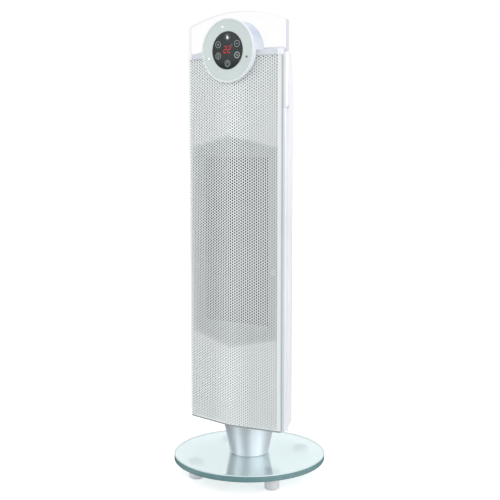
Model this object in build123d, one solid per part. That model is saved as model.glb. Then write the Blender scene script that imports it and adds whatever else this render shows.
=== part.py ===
from build123d import *
from math import acos, atan2, cos, hypot, pi, radians, sin, sqrt, tan
import os

# Oscillating tower fan heater on a round glass base.
# Millimetres, +Z up, the outlet faces -Y.
# The origin is on the floor, under the centre of the base.

# Clearances that every fit below is made from
seat_gap = 0.1
running_gap = 0.05
moving_gap = 0.4
screw_gap = 0.2

# Pan-head screws, with heads in proportion to the shank's radius
screw_head_share = 1.8
screw_head_round_share = 0.4
screw_slot_width = 0.8

# Glass base and its feet
base_radius = 120.0
glass_thickness = 10.0
glass_bevel = 1.2
foot_height = 22.0
foot_radius = 11.3
foot_inset = 30.0
foot_count = 4
foot_first_angle = -33.0
foot_chamfer = 0.8
pad_rim = 2.3
pad_thickness = 4.0
pad_stand_out = 1.5

# Neck and the clamp that holds it to the glass
neck_foot_radius = 31.0
neck_top_radius = 41.2
neck_wall = 2.6
neck_floor = 5.0
neck_cable_radius = 8.0
gasket_thickness = 1.0
clamp_plate_thickness = 3.0
clamp_plate_inset = 3.0
clamp_screw_radius = 2.5
clamp_screw_count = 4
clamp_screw_inset = 10.5
clamp_screw_angle = 45.0
clamp_thread_depth = 4.0

# Pivot, bush and oscillation gears inside the neck
shelf_drop = 18.0
shelf_thickness = 3.0
pivot_radius = 9.0
pivot_wall = 2.5
pivot_flange = 5.0
pivot_flange_thickness = 2.0
bush_wall = 2.0
bush_flange = 2.0
bush_flange_thickness = 2.0
bush_drop = 3.0
thrust_thickness = 1.5
washer_thickness = 1.5
clip_thickness = 1.2
clip_groove = 0.8
clip_width = 2.6
clip_mouth_angle = 60.0
pivot_tail = 3.0
gear_module = 1.0
gear_teeth = 34
pinion_teeth = 12
pressure_angle = 20.0
tooth_addendum = 0.75
tooth_dedendum = 1.05
tooth_backlash = 0.25
gear_thickness = 7.0
pinion_shaft_radius = 2.5

# Tower
tower_low = 86.0
tower_gap = 1.5
tower_half_width = 86.0
tower_top_of_grille = 651.0
sheet_thickness = 0.8
sheet_edge_y = -40.5
sheet_ridge_y = -54.0
sheet_corner = 2.5
hole_pitch = 12.0
hole_radius = 1.9
hole_margin = 6.0
rail_height = 8.4
rail_stand_out = 1.0
end_cap_width = 7.0
end_cap_stand_out = 0.5

# Side frames and rear housing
side_wall = 2.5
side_flange_width = 4.0
side_flange_thickness = 1.7
side_front_gap = 1.2
parting_y = -26.5
parting_groove = 0.4
housing_back_y = 45.0
housing_centre_y = -45.0
housing_wall = 2.5
housing_rise = 13.0
housing_edge_radius = 12.0
taper_height = 52.0
head_shrink = 4.0
neck_opening_gap = 1.2

# Intake filter panel in the back of the rear housing, reaching past the outlet window's ends
intake_half_width = 46.0
intake_below_window = 6.0
intake_above_window = 18.0
ledge_width = 5.0
ledge_thickness = 2.0
slot_height = 3.4
slot_pitch = 7.2
slot_margin = 7.0
slot_bar = 8.0
hook_length = 4.5
hook_thickness = 1.6
hook_height = 12.0

# Recessed rear panel that carries the mains switch and the cord inlet
recess_half_width = 34.0
recess_rise = 18.0
recess_height = 46.0
recess_depth = 9.0
switch_x = 18.0
switch_width = 13.0
switch_height = 19.0
switch_depth = 14.0
switch_bezel = 1.5
switch_bezel_thickness = 2.0
switch_case_wall = 1.0
rocker_tilt = 9.0
rocker_rise = 3.4
rocker_end_gap = 1.2
rocker_hub = 3.0
rocker_pin_radius = 1.2
inlet_x = -20.0
inlet_radius = 6.0
inlet_bore = 3.6
inlet_flange = 2.5
inlet_flange_thickness = 2.0
inlet_length = 9.0

# Screw bosses that join the fascia and the rear housing
boss_inset = 12.0
boss_radius = 4.5
boss_heights = (120.0, 330.0, 548.0)
boss_head_y = -14.0
counterbore_wall = 1.0
housing_screw_radius = 1.8
housing_screw_length = 20.0
screw_tip_wall = 1.0

# Fascia behind the grille: a keel with a six-sided recess round the outlet window
fascia_gap = 1.7
fascia_thickness = 1.6
fascia_edge_gap = 0.5
fascia_end_gap = 3.0
fascia_rib = 1.5
recess_mouth_inset = 4.0
recess_mouth_below_window = 19.0
recess_mouth_above_window = 15.0
recess_peak_rise = 17.0
window_half_width = 59.0
window_low = 246.0
window_high = 502.0
window_y = -36.0

# Head plate of clear sheet and its bracket
plate_drop = 76.0
plate_over_drum = 13.7
plate_arch_rise = 18.0
plate_front_y = -36.0
plate_corner = 5.0
plate_screw_inset = 20.0
plate_screw_drops = (59.0, 15.0)
plate_screw_tip_gap = 2.0

# Control dial
dial_rise = 8.8
drum_radius = 45.5
drum_wall = 2.5
drum_back_thickness = 2.5
ring_overhang = 2.0
ring_back_y = -54.2
ring_depth = 3.0
ring_lip = 1.4
ring_lip_width = 3.0
ring_lip_shape = ((0.0, 0.0), (0.3, 0.8), (0.6, 1.0), (0.86, 0.5), (1.0, 0.0))
display_radius = 27.85
display_thickness = 2.0
display_bezel = 1.0
display_bezel_flat = 0.6
display_bezel_rise = 0.6
display_ledge = 2.0
display_gap = 0.2
spigot_length = 2.2
spigot_wall = 2.0
board_thickness = 1.6
digits_width = 24.0
digits_height = 14.0
digits_depth = 4.4
lens_circle_radius = 36.2
lens_radius = 1.3
lens_stand_out = 0.3
sensor_radius = 1.7
indicator_angles = (197.4, 104.4)
sensor_angle = -17.4

# Heater
guard_thickness = 1.0
guard_overlap = 4.0
guard_bar = 1.2
guard_pitch_x = 7.0
guard_pitch_z = 28.0
heater_rim = 4.5
heater_overlap = 1.0
heater_end_overlap = 2.0
heater_depth = 18.4
heater_bar_width = 5.0
heater_bar_count = 4
heater_bar_inset = 2.4
fin_pitch = 4.0
fin_thickness = 0.8
fin_edge = 0.8
terminal_count = 3
terminal_width = 6.3
terminal_length = 14.0
terminal_thickness = 0.8
cutout_radius = 8.0
cutout_height = 6.0

# Crossflow fan, its scroll and its motor
fan_x = 14.0
fan_y = 9.5
fan_radius = 22.0
fan_disc_thickness = 2.0
fan_end_gap = 4.0
blade_count = 24
blade_depth = 5.0
blade_thickness = 0.9
blade_sweep = 14.0
shaft_radius = 3.0
scroll_wall = 2.0
scroll_plate = 3.0
scroll_gap = 2.0
scroll_start_angle = 62.0
tongue_gap = 1.8
tongue_angle = 205.0
motor_radius = 24.0
motor_height = 44.0
motor_wall = 3.0
motor_screw_radius = 1.5
motor_screw_inset = 9.6
top_bush_radius = 7.0
top_bush_flange = 2.5

# Floor of the tower, oscillation motor, boards
floor_thickness = 3.0
floor_inset = 10.0
osc_motor_radius = 22.0
osc_motor_height = 18.0
osc_motor_lift = 3.5
osc_motor_round = 2.0
osc_ear_radius = 4.0
osc_ear_reach = 4.0
osc_ear_angle = 45.0
osc_ear_thickness = 2.0
osc_screw_radius = 1.5
power_board_gap = 1.5
power_board_y = 5.6
power_board_width = 48.0
power_board_height = 72.0
board_stand = 5.0
board_stand_height = 24.0
relay_size = (15.0, 12.0, 19.0)
relay_count = 3
relay_inset = 5.0
tilt_switch_x = 50.0
tilt_switch_y = -19.0
tilt_switch_size = (20.0, 14.0, 18.0)

# Sizes that follow from the ones above
glass_top = foot_height + glass_thickness
foot_circle_radius = base_radius - foot_inset
neck_bottom = glass_top + gasket_thickness
clamp_circle_radius = neck_foot_radius - clamp_screw_inset
clamp_plate_radius = neck_foot_radius - clamp_plate_inset
gear_pitch_radius = gear_module * gear_teeth / 2
pinion_pitch_radius = gear_module * pinion_teeth / 2
gear_centre_distance = gear_pitch_radius + pinion_pitch_radius
pinion_reach = gear_centre_distance + pinion_pitch_radius + tooth_addendum * gear_module
bush_radius = pivot_radius + running_gap + bush_wall
bush_rim = bush_radius + bush_flange
neck_top = tower_low - tower_gap
shelf_top = neck_top - shelf_drop
shelf_low = shelf_top - shelf_thickness
bush_low = shelf_low - bush_drop
bush_top = shelf_top + bush_flange_thickness
boss_low = bush_top + thrust_thickness
washer_top = bush_low - seat_gap
clip_top = washer_top - washer_thickness
clip_low = clip_top - clip_thickness
pivot_low = clip_low - pivot_tail
flange_half_width = tower_half_width + side_flange_width
housing_depth = housing_back_y - housing_centre_y
parting_share = (parting_y - housing_centre_y) / housing_depth
housing_half_width = flange_half_width / sqrt(1 - parting_share ** 2)
housing_top = tower_top_of_grille + housing_rise
rail_top = tower_top_of_grille + rail_height
intake_low = window_low - intake_below_window
intake_high = window_high + intake_above_window
recess_low = tower_low + recess_rise
recess_high = recess_low + recess_height
fold_rise = sheet_edge_y - sheet_ridge_y
fold_angle = atan2(fold_rise, tower_half_width)
fascia_offset = sheet_thickness + fascia_gap
fascia_half_width = tower_half_width - side_wall - fascia_edge_gap
fascia_low = tower_low + fascia_end_gap
fascia_high = tower_top_of_grille - fascia_end_gap
boss_x = fascia_half_width - boss_inset
recess_mouth_half_width = fascia_half_width - recess_mouth_inset
recess_mouth_low = window_low - recess_mouth_below_window
recess_mouth_high = window_high + recess_mouth_above_window
window_back_y = window_y + fascia_thickness
dial_height = tower_top_of_grille + dial_rise
plate_low = tower_top_of_grille - plate_drop
plate_crown = dial_height + drum_radius + plate_over_drum
plate_shoulder = plate_crown - plate_arch_rise
plate_screw_x = tower_half_width - plate_screw_inset
plate_back_y = parting_y - side_flange_thickness
side_high = plate_low - seat_gap
recess_y = housing_back_y - recess_depth
floor_low = tower_low + housing_wall
floor_top = floor_low + floor_thickness
neck_opening_radius = pinion_reach + neck_opening_gap
guard_back_y = window_back_y + guard_thickness
heater_half_width = window_half_width + heater_overlap + heater_rim
heater_low = window_low - heater_end_overlap - scroll_plate - heater_rim
heater_high = window_high + heater_end_overlap + scroll_plate + heater_rim
heater_back_y = guard_back_y + heater_depth
fan_low = heater_low + scroll_plate + fan_end_gap
fan_high = heater_high - scroll_plate - fan_end_gap
osc_motor_low = floor_top + osc_motor_lift
osc_shaft_top = osc_motor_low + osc_motor_height / 2
power_board_x = pivot_radius + pivot_flange + power_board_gap + power_board_width / 2
motor_screw_reach = motor_radius - motor_screw_inset
ring_radius = drum_radius + ring_overhang
ring_face_y = ring_back_y - ring_depth
drum_bore = drum_radius - drum_wall
display_back_y = ring_face_y + display_thickness
display_board_front_y = display_back_y + digits_depth

ON_FLOOR = (Align.CENTER, Align.CENTER, Align.MIN)
BACKWARD = (0, 1, 0)

# A distance past every surface of the object, for cuts that go right through
BEYOND = 1000.0
THROUGH = (-BEYOND, BEYOND)


# Plain shapes, placed by their limits
def block(x_range, y_range, z_range):
    size = [high - low for low, high in (x_range, y_range, z_range)]
    middle = [(high + low) / 2 for low, high in (x_range, y_range, z_range)]
    return Pos(*middle) * Box(*size)


def post(radius, z_range, x=0.0, y=0.0):
    return Pos(x, y, z_range[0]) * Cylinder(radius, z_range[1] - z_range[0], align=ON_FLOOR)


def rod(radius, y_range, x=0.0, z=0.0):
    length = y_range[1] - y_range[0]
    return Pos(x, y_range[0], z) * Rot(-90, 0, 0) * Cylinder(radius, length, align=ON_FLOOR)


def collar(outer, inner, z_range, x=0.0, y=0.0):
    return post(outer, z_range, x, y) - post(inner, z_range, x, y)


def prism(points, z_range):
    face = Pos(0, 0, z_range[0]) * make_face(Polyline(*points, close=True))
    return extrude(face, amount=z_range[1] - z_range[0])


def upright(sketch, y_range):
    face = Plane.XZ.offset(-y_range[0]) * sketch
    return extrude(face, amount=y_range[1] - y_range[0], dir=BACKWARD)


def around(count, radius, first_angle=0.0):
    angles = [radians(first_angle + 360.0 * i / count) for i in range(count)]
    return [(radius * cos(a), radius * sin(a)) for a in angles]


def both_sides(shape):
    return [shape, mirror(shape, Plane.YZ)]


def group(shapes):
    return Compound([solid for shape in shapes for solid in shape.solids()])


def joined(shapes):
    first, *rest = shapes
    return first.fuse(*rest) if rest else first


def pan_screw(shank_radius, length):
    """A screw along +Z whose head rests on Z = 0 and whose shank goes down."""
    head_radius = shank_radius * screw_head_share
    head_height = shank_radius
    head = post(head_radius, (0, head_height))
    head = fillet(head.edges().group_by(Axis.Z)[-1], head_height * screw_head_round_share)
    half_slot = screw_slot_width / 2
    slot = block((-head_radius, head_radius), (-half_slot, half_slot), (head_height / 2, head_height))
    return head + post(shank_radius, (-length, 0)) - slot


# Shape of the grille's fold, seen from above
def fold_y(x, offset=0.0):
    return sheet_ridge_y + offset + fold_rise * abs(x) / tower_half_width


def folded_bar(x_range, front, back, z_range):
    """A bar on one side of the fold, between two offsets from the grille's front."""
    near, far = x_range
    points = [(near, fold_y(near, front)), (far, fold_y(far, front)),
              (far, fold_y(far, back)), (near, fold_y(near, back))]
    return prism(points, z_range)


def drum_hole(y_range):
    return rod(drum_radius + moving_gap, y_range, z=dial_height)


# Base
def clamp_screw_places():
    return around(clamp_screw_count, clamp_circle_radius, clamp_screw_angle)


def make_glass_base():
    glass = post(base_radius, (foot_height, glass_top))
    glass = chamfer(glass.edges(), glass_bevel)
    for x, y in clamp_screw_places():
        glass -= post(clamp_screw_radius + screw_gap, (foot_height, glass_top), x, y)
    return glass


def foot_places():
    return around(foot_count, foot_circle_radius, foot_first_angle)


def make_base_feet():
    foot = post(foot_radius, (pad_stand_out, foot_height))
    foot = chamfer(foot.edges().group_by(Axis.Z)[0], foot_chamfer)
    foot -= post(foot_radius - pad_rim, (pad_stand_out, pad_thickness))
    return group([Pos(x, y, 0) * foot for x, y in foot_places()])


def make_foot_pads():
    pad = post(foot_radius - pad_rim, (0, pad_thickness))
    return group([Pos(x, y, 0) * pad for x, y in foot_places()])


def make_clamp_gasket():
    gasket = post(clamp_plate_radius, (foot_height - gasket_thickness, foot_height))
    for x, y in clamp_screw_places():
        gasket -= post(clamp_screw_radius + screw_gap, (foot_height - gasket_thickness, foot_height), x, y)
    return gasket


def make_clamp_plate():
    top = foot_height - gasket_thickness
    low = top - clamp_plate_thickness
    plate = post(clamp_plate_radius, (low, top))
    for x, y in clamp_screw_places():
        plate -= post(clamp_screw_radius + screw_gap, (low, top), x, y)
    return plate


def make_clamp_screws():
    seat = foot_height - gasket_thickness - clamp_plate_thickness
    length = neck_bottom + clamp_thread_depth - seat
    upside_down = Rot(180, 0, 0) * pan_screw(clamp_screw_radius, length)
    return group([Pos(x, y, seat) * upside_down for x, y in clamp_screw_places()])


def make_neck_gasket():
    gasket = post(clamp_plate_radius, (glass_top, neck_bottom))
    for x, y in clamp_screw_places():
        gasket -= post(clamp_screw_radius + screw_gap, (glass_top, neck_bottom), x, y)
    return gasket


def neck_bore(z):
    """Radius of the neck's inside, a wall's thickness within its cone."""
    share = (z - neck_bottom) / (neck_top - neck_bottom)
    return neck_foot_radius + share * (neck_top_radius - neck_foot_radius) - neck_wall


def make_neck():
    floor = neck_bottom + neck_floor
    outline = Polyline(
        (0, neck_bottom),
        (neck_foot_radius, neck_bottom),
        (neck_top_radius, neck_top),
        (neck_bore(neck_top), neck_top),
        (neck_bore(shelf_top), shelf_top),
        (bush_radius, shelf_top),
        (bush_radius, shelf_low),
        (neck_bore(shelf_low), shelf_low),
        (neck_bore(floor), floor),
        (0, floor),
        close=True,
    )
    neck = revolve(make_face(Plane.XZ * outline), Axis.Z)
    neck -= post(neck_cable_radius, (neck_bottom, floor))
    for x, y in clamp_screw_places():
        neck -= post(clamp_screw_radius, (neck_bottom, neck_bottom + clamp_thread_depth), x, y)
    return neck


# Pivot and oscillation drive
def make_pivot_bush():
    bore = pivot_radius + running_gap
    sleeve = collar(bush_radius, bore, (bush_low, shelf_top))
    return sleeve + collar(bush_rim, bore, (shelf_top, bush_top))


def make_pivot_tube():
    tube = post(pivot_radius, (pivot_low, floor_top + pivot_flange_thickness))
    tube += post(pivot_radius + pivot_flange, (floor_top, floor_top + pivot_flange_thickness))
    tube -= post(pivot_radius - pivot_wall, (pivot_low, floor_top + pivot_flange_thickness))
    return tube - collar(pivot_radius, pivot_radius - clip_groove, (clip_low, clip_top))


def make_thrust_washer():
    return collar(bush_rim, pivot_radius, (bush_top, boss_low))


def make_retaining_washer():
    return collar(bush_rim, pivot_radius, (clip_top, washer_top))


def make_retaining_clip():
    clip = collar(pivot_radius + clip_width, pivot_radius - clip_groove, (clip_low, clip_top))
    reach = pivot_radius + clip_width * 2
    half = radians(clip_mouth_angle / 2)
    mouth = prism([(0, 0), (reach * cos(half), -reach * sin(half)), (reach * cos(half), reach * sin(half))],
                  (clip_low, clip_top))
    return clip - mouth


def tooth_half_angle(teeth, radius):
    """Half the angle that an involute tooth spans at a radius."""
    pitch_radius = gear_module * teeth / 2
    base = pitch_radius * cos(radians(pressure_angle))
    pitch_turn = acos(base / pitch_radius)
    turn = acos(min(1.0, base / radius))
    at_pitch = pi / (2 * teeth) - tooth_backlash * gear_module / (2 * pitch_radius)
    return at_pitch + (tan(pitch_turn) - pitch_turn) - (tan(turn) - turn)


def gear_outline(teeth, first_angle, flank_steps=4):
    pitch_radius = gear_module * teeth / 2
    base = pitch_radius * cos(radians(pressure_angle))
    root = pitch_radius - tooth_dedendum * gear_module
    tip = pitch_radius + tooth_addendum * gear_module
    start = max(base, root)
    flank = [start + (tip - start) * i / flank_steps for i in range(flank_steps + 1)]
    if root < start:
        flank = [root] + flank
    half = [(r, tooth_half_angle(teeth, r)) for r in flank]
    points = []
    for tooth in range(teeth):
        middle = radians(first_angle) + 2 * pi * tooth / teeth
        rising = [(r, middle - a) for r, a in half]
        falling = [(r, middle + a) for r, a in reversed(half)]
        points += [(r * cos(a), r * sin(a)) for r, a in rising + falling]
    return points


def make_fixed_gear():
    gear = prism(gear_outline(gear_teeth, 0), (shelf_top, shelf_top + gear_thickness))
    return gear - post(bush_rim + seat_gap, (shelf_top, shelf_top + gear_thickness))


def pinion_span():
    return (shelf_top + moving_gap, shelf_top + gear_thickness)


def make_drive_pinion():
    turned_by = 180.0 / pinion_teeth
    pinion = Pos(-gear_centre_distance, 0, 0) * prism(gear_outline(pinion_teeth, turned_by), pinion_span())
    return pinion - post(pinion_shaft_radius, pinion_span(), -gear_centre_distance)


def make_pinion_shaft():
    return post(pinion_shaft_radius, (pinion_span()[0], osc_shaft_top), -gear_centre_distance)


def osc_ear_places():
    reach = osc_motor_radius + osc_ear_reach
    angles = [radians(osc_ear_angle), radians(osc_ear_angle + 180)]
    return [(reach * cos(a) - gear_centre_distance, reach * sin(a)) for a in angles]


def make_osc_motor():
    top = osc_motor_low + osc_motor_height
    can = post(osc_motor_radius, (osc_motor_low, top), -gear_centre_distance)
    can = fillet(can.edges().group_by(Axis.Z)[-1], osc_motor_round)
    ears = [Pos(x, y) * Circle(osc_ear_radius) for x, y in osc_ear_places()]
    strap = make_hull(ears[0].edges() + ears[1].edges())
    can += extrude(Pos(0, 0, osc_motor_low) * strap, osc_ear_thickness)
    ear_top = osc_motor_low + osc_ear_thickness
    for x, y in osc_ear_places():
        can -= post(osc_screw_radius + screw_gap, (osc_motor_low, ear_top), x, y)
    bore = pinion_shaft_radius + running_gap
    return can - post(bore, (osc_motor_low, osc_shaft_top + moving_gap), -gear_centre_distance)


def make_osc_motor_screws():
    seat = osc_motor_low + osc_ear_thickness
    screw = pan_screw(osc_screw_radius, seat - floor_top)
    return group([Pos(x, y, seat) * screw for x, y in osc_ear_places()])


# Rear housing
def body_block(inset):
    """The closed outer form of the rear housing, drawn in by inset on every side."""
    half_width = housing_half_width - inset
    depth = housing_depth - inset
    low = tower_low + inset
    high = housing_top - inset
    taper_start = housing_top - taper_height

    def cut(z, shrink):
        return Pos(0, housing_centre_y, z) * Ellipse(half_width - shrink, depth - shrink)

    form = extrude(cut(low, 0), taper_start - low) + loft([cut(taper_start, 0), cut(high, head_shrink)])
    edge = housing_edge_radius - inset
    form = fillet(form.edges().group_by(Axis.Z)[-1], edge)
    return fillet(form.edges().group_by(Axis.Z)[0], edge)


OUTER_FORM = body_block(0)
INNER_FORM = body_block(housing_wall)
LEDGE_FORM = body_block(housing_wall + ledge_thickness)
BEHIND = (0, BEYOND)


def intake_block(grow):
    width = intake_half_width + grow
    return block((-width, width), BEHIND, (intake_low - grow, intake_high + grow))


def boss_places():
    return [(side * boss_x, z) for z in boss_heights for side in (-1, 1)]


def plate_screw_places():
    heights = [tower_top_of_grille - drop for drop in plate_screw_drops]
    return [(side * plate_screw_x, z) for z in heights for side in (-1, 1)]


def recess_block(grow):
    width = recess_half_width + grow
    return block((-width, width), (recess_y - grow, BEYOND), (recess_low - grow, recess_high + grow))


def switch_block(grow, y_range):
    middle = (recess_low + recess_high) / 2
    half_width = switch_width / 2 + grow
    half_height = switch_height / 2 + grow
    return block((switch_x - half_width, switch_x + half_width), y_range,
                 (middle - half_height, middle + half_height))


def make_rear_housing():
    shell = OUTER_FORM - INNER_FORM
    shell += (recess_block(housing_wall) & OUTER_FORM)
    shell += (INNER_FORM - LEDGE_FORM) & intake_block(ledge_width)
    bosses = [rod(boss_radius, (parting_y, housing_back_y), x, z) for x, z in boss_places() + plate_screw_places()]
    shell += group(bosses) & OUTER_FORM
    shell -= block(THROUGH, (-BEYOND, parting_y), THROUGH)
    shell -= intake_block(0) - INNER_FORM
    shell -= intake_block(-ledge_width)
    shell -= recess_block(0)
    shell -= post(neck_opening_radius, (tower_low, floor_low))
    shell -= switch_block(switch_case_wall, (recess_y - housing_wall, recess_y))
    middle = (recess_low + recess_high) / 2
    shell -= rod(inlet_radius, (recess_y - housing_wall, recess_y), inlet_x, middle)
    for x, z in boss_places():
        shell -= rod(housing_screw_radius + screw_gap, (parting_y, boss_head_y), x, z)
        shell -= rod(boss_radius - counterbore_wall, (boss_head_y, housing_back_y), x, z)
    for x, z in plate_screw_places():
        shell -= rod(housing_screw_radius, (parting_y, boss_head_y), x, z)
    return shell


def make_housing_screws():
    turned = Rot(-90, 0, 0) * pan_screw(housing_screw_radius, housing_screw_length)
    return group([Pos(x, boss_head_y, z) * turned for x, z in boss_places()])


# Removable intake panel
def make_filter_panel():
    panel = (OUTER_FORM - INNER_FORM) & intake_block(-moving_gap)
    low = intake_low + slot_margin
    rows = int((intake_high - slot_margin - low) // slot_pitch)
    near = slot_bar / 2
    far = intake_half_width - slot_margin
    slots = []
    for row in range(rows):
        z = low + row * slot_pitch
        slots += both_sides(block((near, far), BEHIND, (z, z + slot_height)))
    panel = panel.cut(*slots)
    hook_outside = intake_half_width - ledge_width - moving_gap
    arms = []
    for z in (intake_low + ledge_width + moving_gap, intake_high - ledge_width - moving_gap - hook_height):
        arms += both_sides(block((hook_outside - hook_thickness, hook_outside), BEHIND, (z, z + hook_height)))
    return panel + ((group(arms) & INNER_FORM) - Pos(0, -hook_length, 0) * INNER_FORM)


def make_filter_foam():
    hook_inside = intake_half_width - ledge_width - moving_gap - hook_thickness
    shrink = intake_half_width - hook_inside + moving_gap
    return (INNER_FORM - LEDGE_FORM) & intake_block(-shrink)


# Mains switch and cord inlet
def make_switch_body():
    back = recess_y - switch_depth
    case = switch_block(switch_case_wall, (back, recess_y))
    case += switch_block(switch_bezel, (recess_y, recess_y + switch_bezel_thickness))
    case -= switch_block(0, (back + switch_case_wall, recess_y + switch_bezel_thickness))
    return case - rocker_pin(rocker_pin_radius + running_gap, switch_width / 2 + switch_case_wall)


def rocker_pin(radius, half_length):
    pin = Rot(0, 90, 0) * Cylinder(radius, 2 * half_length)
    return Pos(switch_x, recess_y, (recess_low + recess_high) / 2) * pin


def make_rocker():
    """A rocker that rests with its upper end pressed in."""
    width = switch_width / 2 - moving_gap
    reach = switch_height / 2 - rocker_end_gap
    slope = tan(radians(rocker_tilt))
    outline = Polyline(
        (-reach, rocker_rise),
        (0, rocker_rise - reach * slope),
        (reach, rocker_rise),
        (reach, 0),
        (rocker_hub, -rocker_hub),
        (-rocker_hub, -rocker_hub),
        (-reach, 0),
        close=True,
    )
    middle = (recess_low + recess_high) / 2
    face = Plane.YZ * make_face(Rot(0, 0, -90) * outline)
    paddle = extrude(face, amount=width, both=True)
    tilted = Rot(rocker_tilt, 0, 0) * paddle
    pin = rocker_pin(rocker_pin_radius, switch_width / 2 + switch_case_wall - seat_gap)
    return Pos(switch_x, recess_y, middle) * tilted + pin


def make_cord_inlet():
    middle = (recess_low + recess_high) / 2
    inside = recess_y - inlet_length
    outside = recess_y + inlet_flange_thickness
    inlet = rod(inlet_radius, (inside, recess_y), inlet_x, middle)
    inlet += rod(inlet_radius + inlet_flange, (recess_y, outside), inlet_x, middle)
    return inlet - rod(inlet_bore, (inside, outside), inlet_x, middle)


# Front of the tower
def make_side_frame():
    low, high = tower_low, side_high
    front = fold_y(tower_half_width, sheet_thickness + side_front_gap)
    wall = block((tower_half_width - side_wall, tower_half_width), (front, parting_y), (low, high))
    flange = block((tower_half_width, flange_half_width), (plate_back_y, parting_y), (low, high))
    groove = block((flange_half_width - parting_groove, flange_half_width),
                   (parting_y - parting_groove, parting_y), (low, high))
    return wall + flange - groove


def grille_plane():
    return Plane(
        origin=(0, sheet_ridge_y, 0),
        x_dir=(cos(fold_angle), sin(fold_angle), 0),
        z_dir=(sin(fold_angle), -cos(fold_angle), 0),
    )


def hole_places():
    """Centres of a staggered hole pattern, along one half of the fold and up."""
    width = hypot(tower_half_width, fold_rise)
    column_step = hole_pitch * cos(pi / 6)
    clear_of_drum = drum_radius + moving_gap + hole_margin
    places = []
    columns = int((width - 2 * hole_margin) // column_step) + 1
    rows = int((tower_top_of_grille - tower_low - 2 * hole_margin) // hole_pitch)
    for column in range(columns):
        along = hole_margin + column * column_step
        stagger = hole_pitch / 2 * (column % 2)
        for row in range(rows):
            up = tower_low + hole_margin + row * hole_pitch + stagger
            if hypot(along, up - dial_height) > clear_of_drum:
                places.append((along, up))
    return places


def make_front_grille():
    width = hypot(tower_half_width, fold_rise)
    plane = grille_plane()
    corners = [(0, tower_low), (width - sheet_corner, tower_low), (width, tower_low + sheet_corner),
               (width, tower_top_of_grille), (0, tower_top_of_grille)]
    outline = Wire.make_polygon([plane.from_local_coords((u, z, 0)) for u, z in corners], close=True)
    holes = [
        Wire.make_circle(hole_radius, Plane(plane.from_local_coords((u, z, 0)), plane.x_dir, plane.z_dir))
        for u, z in hole_places()
    ]
    half = extrude(Face(outline, holes), amount=sheet_thickness, dir=BACKWARD)
    half -= drum_hole(THROUGH)
    return half + mirror(half, Plane.YZ)


def make_grille_rail():
    """The bar over the grille, in two lengths that end at the drum."""
    far = tower_half_width - end_cap_width
    points = [(0, fold_y(0, -rail_stand_out)), (far, fold_y(far, -rail_stand_out)),
              (far, plate_front_y), (0, plate_front_y)]
    bar = prism(points, (tower_top_of_grille, rail_top))
    bar -= drum_hole(THROUGH)
    return group(both_sides(bar))


def make_rail_end_caps():
    near, far = tower_half_width - end_cap_width, tower_half_width
    front = -rail_stand_out - end_cap_stand_out
    points = [(near, fold_y(near, front)), (far, fold_y(far, front)), (far, plate_front_y), (near, plate_front_y)]
    return group(both_sides(prism(points, (tower_top_of_grille, rail_top))))


def leaning_prism(points):
    face = Face(Wire.make_polygon(points, close=True))
    return extrude(face, amount=fascia_thickness, dir=BACKWARD)


def fascia_facets():
    """The right half of the fascia, as flat facets."""
    edge, mouth, window = fascia_half_width, recess_mouth_half_width, window_half_width
    y_edge = fold_y(edge, fascia_offset)
    y_mouth = fold_y(mouth, fascia_offset)
    y_ridge = fold_y(0, fascia_offset)
    flank = [
        (0, y_ridge, fascia_low), (edge, y_edge, fascia_low), (edge, y_edge, fascia_high),
        (0, y_ridge, fascia_high), (0, y_ridge, recess_mouth_high + recess_peak_rise),
        (mouth, y_mouth, recess_mouth_high), (mouth, y_mouth, recess_mouth_low),
        (0, y_ridge, recess_mouth_low - recess_peak_rise),
    ]
    side = [(mouth, y_mouth, recess_mouth_low), (mouth, y_mouth, recess_mouth_high),
            (window, window_y, window_high), (window, window_y, window_low)]
    facets = [flank, side]
    for peak, shoulder, sill in (
        (recess_mouth_high + recess_peak_rise, recess_mouth_high, window_high),
        (recess_mouth_low - recess_peak_rise, recess_mouth_low, window_low),
    ):
        facets.append([(0, y_ridge, peak), (mouth, y_mouth, shoulder), (0, window_y, sill)])
        facets.append([(mouth, y_mouth, shoulder), (window, window_y, sill), (0, window_y, sill)])
    return facets


def make_fascia():
    half = joined([leaning_prism(facet) for facet in fascia_facets()])
    rib = (fascia_half_width - fascia_rib, fascia_half_width)
    half += folded_bar(rib, sheet_thickness, fascia_offset, (fascia_low, fascia_high))
    half -= drum_hole(THROUGH)
    for z in boss_heights:
        front = fold_y(boss_x, fascia_offset)
        pillar = rod(boss_radius, (front, parting_y), boss_x, z)
        pillar -= folded_bar((0, tower_half_width), -BEYOND, fascia_offset, (z - boss_radius, z + boss_radius))
        half += pillar
        bore_front = front + fascia_thickness + screw_tip_wall
        half -= rod(housing_screw_radius, (bore_front, parting_y), boss_x, z)
    return half + mirror(half, Plane.YZ)


# Head plate, bracket and dial
def make_head_plate():
    width = flange_half_width - parting_groove
    sides = Polyline((-width, plate_shoulder), (-width, plate_low), (width, plate_low), (width, plate_shoulder))
    crown = ThreePointArc((width, plate_shoulder), (0, plate_crown), (-width, plate_shoulder))
    face = make_face(sides + crown)
    plate = upright(face, (plate_front_y, plate_back_y))
    corners = plate.edges().filter_by(Axis.Y).group_by(Axis.Z)[0]
    plate = fillet(corners, plate_corner)
    plate -= rod(drum_radius, (plate_front_y, plate_back_y), z=dial_height)
    for x, z in plate_screw_places():
        plate -= rod(housing_screw_radius + screw_gap, (plate_front_y, plate_back_y), x, z)
    return plate


def make_head_bracket():
    low = plate_low + seat_gap
    sheet = block(THROUGH, (plate_back_y, parting_y), (low, housing_top - housing_wall))
    sheet &= OUTER_FORM
    sheet -= rod(drum_radius, (plate_back_y, parting_y), z=dial_height)
    for x, z in plate_screw_places():
        sheet -= rod(housing_screw_radius + screw_gap, (plate_back_y, parting_y), x, z)
    return sheet


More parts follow.
